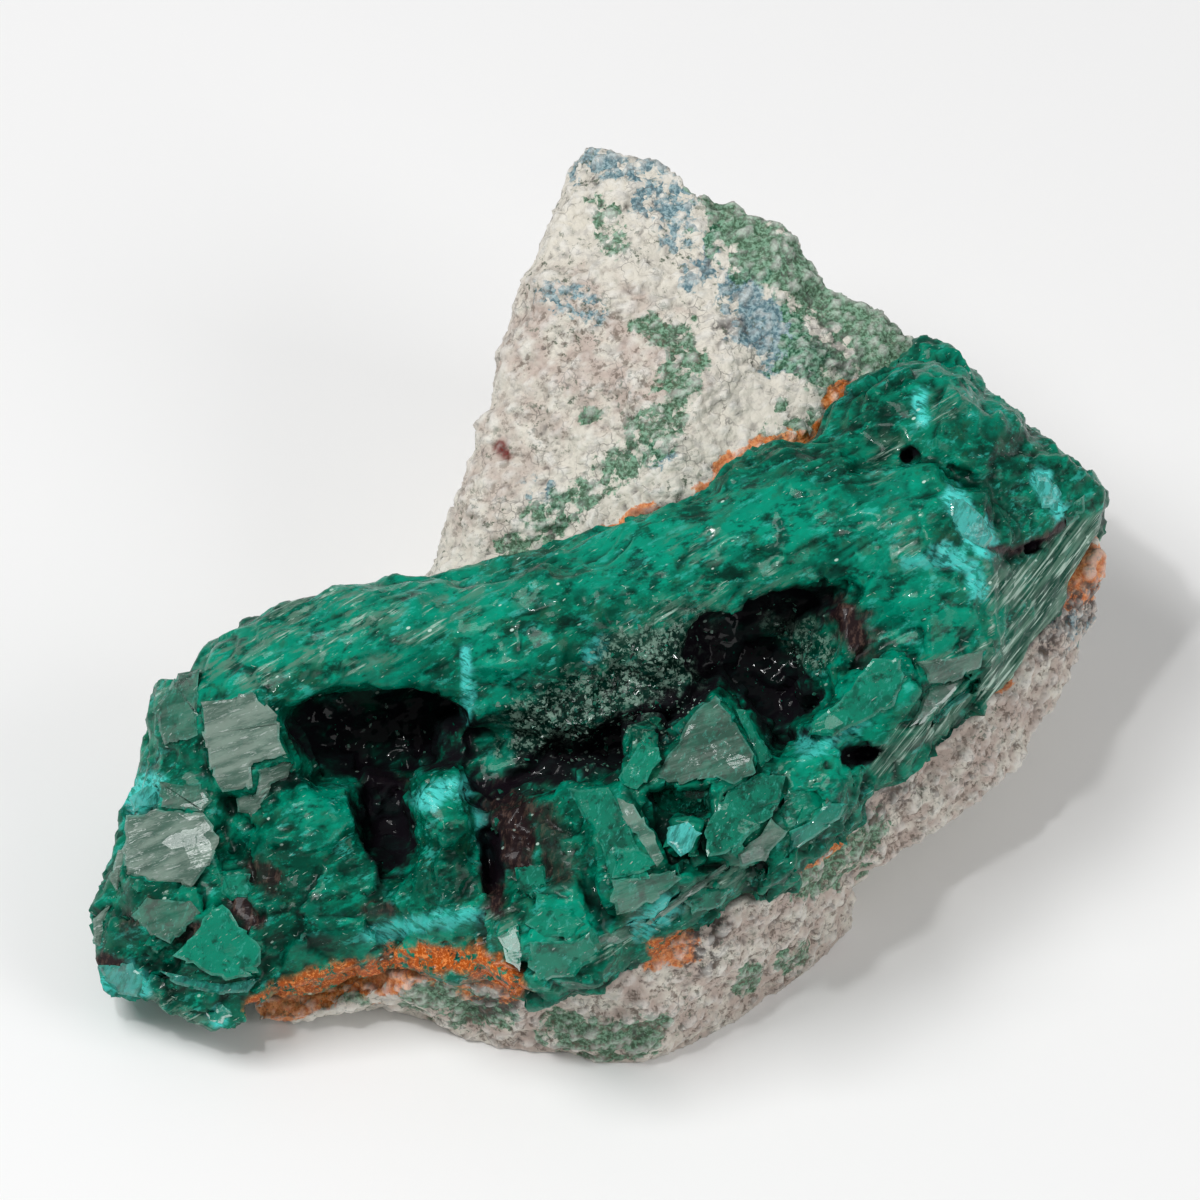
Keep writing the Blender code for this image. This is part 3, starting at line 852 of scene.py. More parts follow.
@dataclass(frozen=True)
class CrustFinish:
    """Glossy emerald crust, silky on the ridge, with painted shade in the hollows."""

    dark: Colour = (0.0, 0.014, 0.009)
    deep: Colour = (0.0, 0.060, 0.035)
    mid: Colour = (0.0, 0.185, 0.108)
    light: Colour = (0.0, 0.34, 0.215)
    # painted turquoise highlight
    turquoise_highlight: Colour = (0.045, 0.50, 0.41)
    # teal that is partly the crust's own and partly painted highlight
    cyan_and_highlight: Colour = (0.10, 0.78, 0.72)
    grey: Colour = (0.12, 0.24, 0.175)
    # pale colour of the threads, partly the crust's own fibres and partly painted highlight
    pale_silk_and_highlight: Colour = (0.46, 0.64, 0.54)
    olive: Colour = (0.022, 0.095, 0.045)
    frost: Colour = (0.19, 0.30, 0.24)
    iron: Colour = (0.46, 0.085, 0.008)
    ochre: Colour = (0.84, 0.27, 0.07)
    brown: Colour = (0.018, 0.010, 0.011)
    rust: Colour = (0.085, 0.050, 0.040)
    # near-black painted shade laid in the hollows and clefts
    hollow_shade: Colour = (0.0070, 0.0040, 0.0075)
    glint: Colour = (0.62, 0.82, 0.72)
    least_roughness: float = 0.18
    roughness_size: float = 1.2
    roughness_spread: float = 0.24
    hollow_roughness: float = 0.7
    refraction: float = 1.62
    gloss: float = 0.04
    coat: float = 0.18
    coat_roughness: float = 0.05
    patch_share: float = 0.85
    # how strongly the crests get painted highlight and the crevices painted shade
    crest_highlight_share: float = 0.22
    crevice_shade_share: float = 0.85
    fibre_share: float = 0.9
    cyan_ground: float = 0.22
    scratch_share: float = 0.75
    druse_share: float = 0.95
    hollow_shade_share: float = 0.96
    glint_size: float = 0.34
    glint_stretch: float = 1.6
    glint_chosen: Span = (0.82, 0.86)
    glint_round: Span = (0.30, 0.18)
    glint_share: float = 0.85
    glint_loss: float = 0.6
    glitter_size: float = 0.5
    glitter_tilt: float = 0.36
    glitter_stretch: float = 1.8
    mass: Stencil = Stencil(2.2, 0.38, 0.60, 5.0, 0.62)
    bright_mottle: Stencil = Stencil(0.75, 0.52, 0.66, 5.0, 0.70, 1.9, share=0.70)
    dark_mottle: Stencil = Stencil(0.75, 0.47, 0.34, 5.0, 0.70, 1.9, share=0.85)
    olive_patches: Stencil = Stencil(1.5, 0.54, 0.66, 4.0, 0.65, share=0.45)
    highlight_streaks: Stencil = Stencil(0.60, 0.53, 0.63, 5.0, 0.72, 2.6)
    highlight_fields: Stencil = Stencil(2.8, 0.40, 0.56, share=0.6)
    smudges: Stencil = Stencil(1.8, 0.48, 0.37, 5.0, 0.70, 1.7, 10.0, 0.8)
    streaks: Stencil = Stencil(0.42, 0.46, 0.58, 5.0, 0.68, 5.0, 31.0, 0.75)
    silk_threads: Stencil = Stencil(0.26, 0.54, 0.61, 5.0, 0.66, 14.0, 30.0)
    silk_fields: Stencil = Stencil(1.1, 0.47, 0.58, stretch=3.0, share=0.85)
    layers: Stencil = Stencil(0.34, 0.42, 0.58, 4.0, stretch=30.0, slant=52.0)
    layer_edges: Stencil = Stencil(0.16, 0.53, 0.62, stretch=30.0, slant=52.0)
    cyan_threads: Stencil = Stencil(0.30, 0.40, 0.56, 5.0, 0.68, 4.0, -28.0)
    scratches: Stencil = Stencil(0.11, 0.70, 0.75, 2.0, stretch=8.0, slant=33.0)
    cross_scratches: Stencil = Stencil(0.13, 0.72, 0.77, 2.0, stretch=6.0, slant=-20.0)
    brown_threads: Stencil = Stencil(0.3, 0.48, 0.66, 4.0, 0.7, 3.0, 80.0)
    speckles: Stencil = Stencil(0.22, 0.50, 0.58, 4.0, 0.75)
    sugar: Stencil = Stencil(0.46, 0.50, 0.57, 5.0, 0.78)
    orange_crumbs: Stencil = Stencil(0.7, 0.41, 0.50, 5.0, 0.74)
    glint_fields: Stencil = Stencil(2.4, 0.44, 0.60)
    fine: Ripple = Ripple(0.22, 0.04, 0.4, 1.0, 6.0)
    coarse: Ripple = Ripple(0.7, 0.08, 0.4, 2.0)

    def material(self) -> bpy.types.Material:
        """The crust's material.

        Returns:
            The material.
        """
        bench = NodeBench("emerald_crust")
        colour = self.trimmed(bench, self.silky(bench, self.ground(bench)))
        normal = bench.rippled(self.coarse, bench.rippled(self.fine))
        normal = bench.glitter(self.glitter_size, self.glitter_tilt, normal,
                               bench.threads(self.glitter_stretch))
        shader = bench.shader.inputs
        shader["IOR"].default_value = self.refraction
        shader["Specular IOR Level"].default_value = self.gloss
        shader["Coat Weight"].default_value = self.coat
        shader["Coat Roughness"].default_value = self.coat_roughness
        rough = bench.maths("ADD", bench.times(bench.noise(self.roughness_size), self.roughness_spread),
                            self.least_roughness)
        rough = bench.maths("ADD", rough, bench.times(bench.mask(Mask.HOLLOW_SHADE), self.hollow_roughness))
        return bench.finish(colour, rough, normal)

    def ground(self, bench: NodeBench) -> object:
        """The cloudy greens of the crust's mass.

        Args:
            bench: the material's bench.

        Returns:
            The colour.
        """
        colour = bench.over(self.deep, self.mid, bench.stencil(self.mass))
        colour = bench.over(colour, self.deep, bench.mask(Tint.DEEP), self.patch_share)
        colour = bench.over(colour, self.light, bench.mask(Tint.LIGHT), self.patch_share)
        colour = bench.over(colour, self.light, bench.stencil(self.bright_mottle))
        colour = bench.over(colour, self.deep, bench.stencil(self.dark_mottle))
        colour = bench.over(colour, self.olive, bench.stencil(self.olive_patches))
        # painted highlight: turquoise streaks over the greens
        colour = bench.over(colour, self.turquoise_highlight, bench.stencil(self.highlight_streaks),
                            bench.stencil(self.highlight_fields))
        colour = bench.over(colour, self.dark, bench.stencil(self.smudges))
        # painted highlight on the crests and painted shade in the crevices
        colour = bench.over(colour, self.light, bench.mask(Mask.CREST), self.crest_highlight_share)
        return bench.over(colour, self.dark, bench.mask(Mask.CREVICE), self.crevice_shade_share)

    def silky(self, bench: NodeBench, colour: object) -> object:
        """Lay the silky threads, the thin layers' edges and the scratches over the greens, in a pale colour
        that is partly painted highlight.

        Args:
            bench: the material's bench.
            colour: the colour so far.

        Returns:
            The new colour.
        """
        grey = bench.mask(Tint.GREY)
        fibre = bench.mask(Tint.FIBRE)
        colour = bench.over(colour, self.grey, grey, bench.stencil(self.streaks))
        colour = bench.over(colour, self.pale_silk_and_highlight, bench.stencil(self.silk_threads),
                            bench.stencil(self.silk_fields), grey)
        layered = bench.over(self.deep, self.grey, bench.stencil(self.layers))
        colour = bench.over(colour, layered, fibre, self.fibre_share)
        colour = bench.over(colour, self.pale_silk_and_highlight, bench.stencil(self.layer_edges), fibre)
        # teal patches, partly the crust's own colour and partly painted highlight
        cyan_and_highlight = bench.maths("ADD", bench.stencil(self.cyan_threads), self.cyan_ground)
        colour = bench.over(colour, self.cyan_and_highlight, bench.mask(Tint.CYAN), cyan_and_highlight)
        # thin pale lines at two slants, partly painted highlight
        scratches = bench.maths("ADD", bench.stencil(self.scratches), bench.stencil(self.cross_scratches))
        return bench.over(colour, self.pale_silk_and_highlight, scratches, self.scratch_share)

    def trimmed(self, bench: NodeBench, colour: object) -> object:
        """Lay the brown and orange patches, the frosted walls, the painted shade in the hollows and the
        painted glints over it.

        Args:
            bench: the material's bench.
            colour: the colour so far.

        Returns:
            The finished colour.
        """
        rusty = bench.over(self.brown, self.rust, bench.stencil(self.brown_threads))
        colour = bench.over(colour, rusty, bench.mask(Tint.BROWN))
        frosted = bench.over(self.dark, self.frost, bench.stencil(self.sugar))
        colour = bench.over(colour, frosted, bench.mask(Tint.DRUSE), self.druse_share)
        crumbly = bench.over(self.iron, self.ochre, bench.stencil(self.speckles))
        colour = bench.over(colour, crumbly, bench.mask(Tint.ORANGE), bench.stencil(self.orange_crumbs))
        # painted shade: the hollows and clefts turn near black
        hollow_shade = bench.mask(Mask.HOLLOW_SHADE)
        colour = bench.over(colour, self.hollow_shade, hollow_shade, self.hollow_shade_share)
        drawn = bench.threads(self.glint_stretch)
        chosen = bench.ramp(bench.cells(self.glint_size, output="Color", where=drawn), *self.glint_chosen)
        core = bench.ramp(bench.cells(self.glint_size, where=drawn), *self.glint_round)
        bare = bench.maths("SUBTRACT", 1.0, bench.times(hollow_shade, self.glint_loss))
        return bench.over(colour, self.glint, chosen, core, bench.stencil(self.glint_fields), bare,
                          self.glint_share)


@dataclass(frozen=True)
class CrystalFinish:
    """Clear emerald crystal: see-through, and darker the thicker it is."""

    name: str = "clear_crystal"
    deep: Colour = (0.0, 0.045, 0.026)
    mid: Colour = (0.0, 0.165, 0.098)
    light: Colour = (0.0, 0.36, 0.22)
    smoke: Colour = (0.0, 0.020, 0.012)
    # the cleavage plates' own grey-green lightened by painted sheen
    silvery_sheen: Colour = (0.35, 0.46, 0.39)
    tarnish: Colour = (0.11, 0.20, 0.155)
    # colour of painted sheen and of the pale lines laid in it
    sheen: Colour = (0.66, 0.76, 0.70)
    # painted turquoise highlight, laid as flecks on the crystals
    turquoise_highlight: Colour = (0.06, 0.54, 0.42)
    # teal that is partly the crystals' own and partly painted highlight
    cyan_and_highlight: Colour = (0.12, 0.80, 0.74)
    brown: Colour = (0.020, 0.011, 0.013)
    # painted highlight along the crystals' rims
    edge: Colour = (0.12, 0.55, 0.42)
    body: Colour = (0.05, 0.75, 0.48)
    density: float = 260.0
    roughness: float = 0.13
    clearness: float = 0.35
    refraction: float = 1.66
    gloss: float = 0.16
    patch_share: float = 0.9
    silver_share: float = 0.92
    silver_shine: Span = (0.5, 1.0)
    cyan_ground: float = 0.35
    cyan_gain: float = 0.6
    light_cleans: float = 0.85
    veil_size: float = 1.7
    veil_warp: Span = (1.2, 0.8)
    veil_light: Span = (0.50, 0.66)
    veil_light_share: float = 0.45
    veil_deep: Span = (0.48, 0.34)
    veil_deep_share: float = 0.60
    glitter_size: float = 0.8
    glitter_tilt: float = 0.42
    glitter_stretch: float = 1.6
    slant: float = 18.0
    shafts: Stencil = Stencil(0.5, 0.54, 0.68, 5.0, 0.66, 3.5, 66.0, 0.6)
    depths: Stencil = Stencil(0.8, 0.46, 0.32, 5.0, 0.68, share=0.75)
    flecks: Stencil = Stencil(0.30, 0.55, 0.63, 5.0, 0.72, 1.8, 66.0, 0.6)
    smudges: Stencil = Stencil(0.9, 0.46, 0.38, 5.0, 0.72, 1.8, 50.0, 0.85)
    tarnishing: Stencil = Stencil(0.8, 0.40, 0.60, 5.0, 0.70, 7.0, 18.0)
    shine: Stencil = Stencil(0.20, 0.54, 0.63, 5.0, 0.68, 7.0, 18.0, 0.85)
    shine_fields: Stencil = Stencil(1.4, 0.36, 0.56, 4.0)
    cyan_shafts: Stencil = Stencil(0.35, 0.40, 0.58, 5.0, 0.68, 3.5, 66.0)
    edge_highlight_breaks: Stencil = Stencil(0.7, 0.42, 0.60, share=0.6)
    scratches: Stencil = Stencil(0.12, 0.69, 0.74, 2.0, stretch=6.0, slant=40.0, share=0.7)
    fine: Ripple = Ripple(0.20, 0.04, 0.5, 1.0, 7.0, 18.0)
    coarse: Ripple = Ripple(0.6, 0.08, 0.4, 2.0)

    def material(self) -> bpy.types.Material:
        """The crystals' material.

        Returns:
            The material.
        """
        bench = NodeBench(self.name)
        colour = self.faced(bench, self.ground(bench))
        normal = bench.rippled(self.coarse, bench.rippled(self.fine))
        normal = bench.glitter(self.glitter_size, self.glitter_tilt, normal,
                               bench.threads(self.glitter_stretch, self.slant))
        shader = bench.shader.inputs
        shader["IOR"].default_value = self.refraction
        shader["Specular IOR Level"].default_value = self.gloss
        shader["Transmission Weight"].default_value = self.clearness
        absorbing = bench.node("ShaderNodeVolumeAbsorption")
        absorbing.inputs["Color"].default_value = (*self.body, 1.0)
        absorbing.inputs["Density"].default_value = self.density
        bench.tree.links.new(absorbing.outputs["Volume"], bench.output.inputs["Volume"])
        return bench.finish(colour, self.roughness, normal)

    def ground(self, bench: NodeBench) -> object:
        """The veiled greens inside the crystals.

        Args:
            bench: the material's bench.

        Returns:
            The colour.
        """
        light = bench.mask(Tint.LIGHT)
        colour = bench.over(self.mid, self.deep, bench.mask(Tint.DEEP), self.patch_share)
        colour = bench.over(colour, self.light, light, self.patch_share)
        veils = bench.noise(self.veil_size, where=bench.warped(*self.veil_warp))
        colour = bench.over(colour, self.light, bench.ramp(veils, *self.veil_light), self.veil_light_share)
        colour = bench.over(colour, self.deep, bench.ramp(veils, *self.veil_deep), self.veil_deep_share)
        colour = bench.over(colour, self.light, bench.stencil(self.shafts))
        colour = bench.over(colour, self.deep, bench.stencil(self.depths))
        # painted highlight: turquoise flecks
        colour = bench.over(colour, self.turquoise_highlight, bench.stencil(self.flecks))
        clean = bench.maths("SUBTRACT", 1.0, bench.times(light, self.light_cleans))
        return bench.over(colour, self.smoke, bench.stencil(self.smudges), clean)

    def faced(self, bench: NodeBench, colour: object) -> object:
        """Lay the painted silvery sheen, the patches, the painted highlights on the edges and the scratches
        over the greens.

        Args:
            bench: the material's bench.
            colour: the colour so far.

        Returns:
            The finished colour.
        """
        silvery_sheen = bench.mask(Tint.GREY)
        # painted sheen: cleavage plates lightened as if reflecting, with darker tarnish between
        sheen_and_tarnish = bench.over(self.silvery_sheen, self.tarnish, bench.stencil(self.tarnishing))
        colour = bench.over(colour, sheen_and_tarnish, silvery_sheen, self.silver_share)
        colour = bench.over(colour, self.sheen, bench.stencil(self.shine),
                            bench.ramp(silvery_sheen, *self.silver_shine), bench.stencil(self.shine_fields))
        # teal patches, partly the crystals' own colour and partly painted highlight
        cyan_and_highlight = bench.maths("MULTIPLY_ADD", bench.stencil(self.cyan_shafts), self.cyan_gain,
                           self.cyan_ground)
        colour = bench.over(colour, self.cyan_and_highlight, bench.mask(Tint.CYAN), cyan_and_highlight)
        colour = bench.over(colour, self.brown, bench.mask(Tint.BROWN), self.patch_share)
        # painted highlight along the crystals' rims
        colour = bench.over(colour, self.edge, bench.mask(Mask.EDGE), bench.stencil(self.edge_highlight_breaks))
        # thin pale lines in the painted sheen colour
        return bench.over(colour, self.sheen, bench.stencil(self.scratches))


@dataclass(frozen=True)
class FloorFinish:
    """A plain pale floor."""

    colour: Colour = (0.93, 0.93, 0.93)
    roughness: float = 0.9

    def material(self) -> bpy.types.Material:
        """The floor's material."""
        return NodeBench("pale_floor").finish(self.colour, self.roughness)


def stroke(tint: Tint, width: float, strength: float, *path: Spot) -> Patch:
    """A patch along a path of U and V."""
    return Patch(tint, path, width, strength)


ROCK_PATCHES = (
    stroke(Tint.BLUE, 1.5, 0.62, (-0.9, 26.4), (3.0, 26.1)),
    stroke(Tint.BLUE, 2.1, 0.66, (3.6, 24.3), (5.4, 21.9), (6.0, 20.3)),
    stroke(Tint.BLUE, 1.9, 1.0, (8.9, 18.1), (10.2, 16.2), (11.7, 14.9)),
    stroke(Tint.BLUE, 1.2, 0.50, (-3.0, 18.6), (-0.6, 17.3)),
    stroke(Tint.BLUE, 1.0, 0.55, (2.6, 9.0), (3.6, 8.4)),
    stroke(Tint.BLUE, 1.3, 0.40, (-3.6, 6.6), (-2.4, 5.4)),
    stroke(Tint.BLUE, 1.6, 0.45, (27.6, -0.6), (29.2, -2.4)),
    stroke(Tint.BLUE, 0.5, 0.9, (-5.1, -24.9)),
    stroke(Tint.GREEN, 2.5, 1.0, (8.1, 23.1), (10.8, 20.4), (14.4, 18.0), (17.4, 15.9), (19.8, 14.1)),
    stroke(Tint.GREEN, 2.0, 0.85, (12.0, 15.0), (15.0, 13.5), (17.4, 13.8)),
    stroke(Tint.GREEN, 1.0, 0.95, (5.6, 25.6), (6.7, 25.0)),
    stroke(Tint.GREEN, 1.4, 0.80, (5.2, 15.6), (4.6, 12.6), (3.6, 10.2), (0.7, 7.7)),
    stroke(Tint.GREEN, 0.9, 0.95, (2.7, 16.5), (4.5, 15.5)),
    stroke(Tint.GREEN, 1.3, 0.72, (-3.6, 4.8), (-2.1, 5.7), (0.6, 7.1)),
    stroke(Tint.GREEN, 0.9, 0.85, (-5.3, 3.0), (-3.3, 3.5)),
    stroke(Tint.GREEN, 0.6, 1.0, (-0.8, 11.1), (-0.1, 11.3)),
    stroke(Tint.GREEN, 1.1, 0.60, (0.2, 24.0), (0.8, 21.6)),
    stroke(Tint.GREEN, 1.3, 0.60, (10.8, 9.6), (13.2, 10.7)),
    stroke(Tint.GREEN, 0.5, 0.9, (10.9, 11.7)),
    stroke(Tint.GREEN, 1.5, 0.95, (-2.1, -25.8), (0.0, -26.4), (3.0, -26.1)),
    stroke(Tint.GREEN, 1.4, 0.95, (-10.8, -23.5), (-8.4, -24.0), (-6.0, -24.6)),
    stroke(Tint.GREEN, 0.9, 0.85, (8.7, -23.1), (9.0, -22.5)),
    stroke(Tint.GREEN, 0.9, 0.8, (11.4, -21.6), (12.0, -21.0)),
    stroke(Tint.GREEN, 1.4, 0.85, (12.6, -16.8), (14.4, -15.6), (16.2, -13.8)),
    stroke(Tint.GREEN, 1.1, 0.7, (-15.9, -23.1), (-14.4, -23.4)),
    stroke(Tint.SEAM, 1.3, 0.9, (1.1, 4.3), (2.7, 5.0)),
    stroke(Tint.SEAM, 2.0, 0.85, (7.0, 6.5), (8.1, 7.2), (9.6, 7.6), (12.0, 8.3)),
    stroke(Tint.ORANGE, 0.8, 1.0, (7.3, 7.7), (9.1, 8.9), (10.5, 9.2), (11.8, 9.6)),
    stroke(Tint.SEAM, 1.6, 1.0, (14.2, 10.7), (14.9, 12.2)),
    stroke(Tint.ORANGE, 0.6, 1.0, (13.9, 11.8), (14.6, 12.7)),
    stroke(Tint.SEAM, 1.0, 0.55, (-10.2, 1.7), (-9.6, 2.4)),
    stroke(Tint.ORANGE, 0.5, 0.8, (7.6, 24.4)),
    stroke(Tint.ORANGE, 1.5, 1.0, (-22.3, -25.9), (-20.3, -24.9), (-18.0, -23.1), (-15.3, -22.5)),
    stroke(Tint.ORANGE, 1.6, 1.0, (-13.8, -22.5), (-12.0, -21.9), (-9.0, -21.5), (-7.3, -22.1)),
    stroke(Tint.ORANGE, 0.9, 0.95, (-6.5, -22.5), (-5.3, -23.5)),
    stroke(Tint.ORANGE, 1.2, 0.9, (3.3, -21.1), (4.8, -20.7)),
    stroke(Tint.ORANGE, 1.2, 1.0, (12.6, -15.0), (13.8, -13.9), (14.7, -13.2)),
    stroke(Tint.ORANGE, 0.7, 1.0, (23.9, -4.9), (24.2, -4.7)),
    stroke(Tint.ORANGE, 1.7, 1.0, (27.7, 0.6), (29.1, 1.5), (30.3, 2.7)),
    stroke(Tint.RUST, 0.45, 1.0, (-6.0, 9.3), (-5.6, 8.6)),
    stroke(Tint.PINK, 4.5, 0.8, (-2.4, 15.6), (1.6, 13.9)),
    stroke(Tint.PINK, 3.0, 0.6, (-7.8, 6.0), (-4.8, 10.2)),
    stroke(Tint.PINK, 7.0, 0.9, (-6.0, -25.8), (6.0, -22.2), (13.2, -19.2), (23.4, -8.4), (27.6, -3.0)),
    stroke(Tint.SOOT, 1.3, 0.9, (6.0, -21.3), (6.5, -19.8)),
    stroke(Tint.SOOT, 1.3, 0.9, (26.7, -2.4), (28.2, -0.7), (30.0, 0.0)),
    stroke(Tint.SOOT, 0.9, 0.9, (-6.9, -24.0), (-5.4, -24.2)),
    stroke(Tint.SOOT, 1.2, 0.7, (15.6, -12.9), (18.0, -11.4)),
    stroke(Tint.SOOT, 1.2, 0.6, (13.8, 15.6), (15.0, 13.7)),
    stroke(Tint.SOOT, 0.7, 0.8, (7.2, 16.2), (8.1, 16.7)),
    stroke(Tint.SOOT, 0.5, 0.8, (-0.3, 25.3)),
)

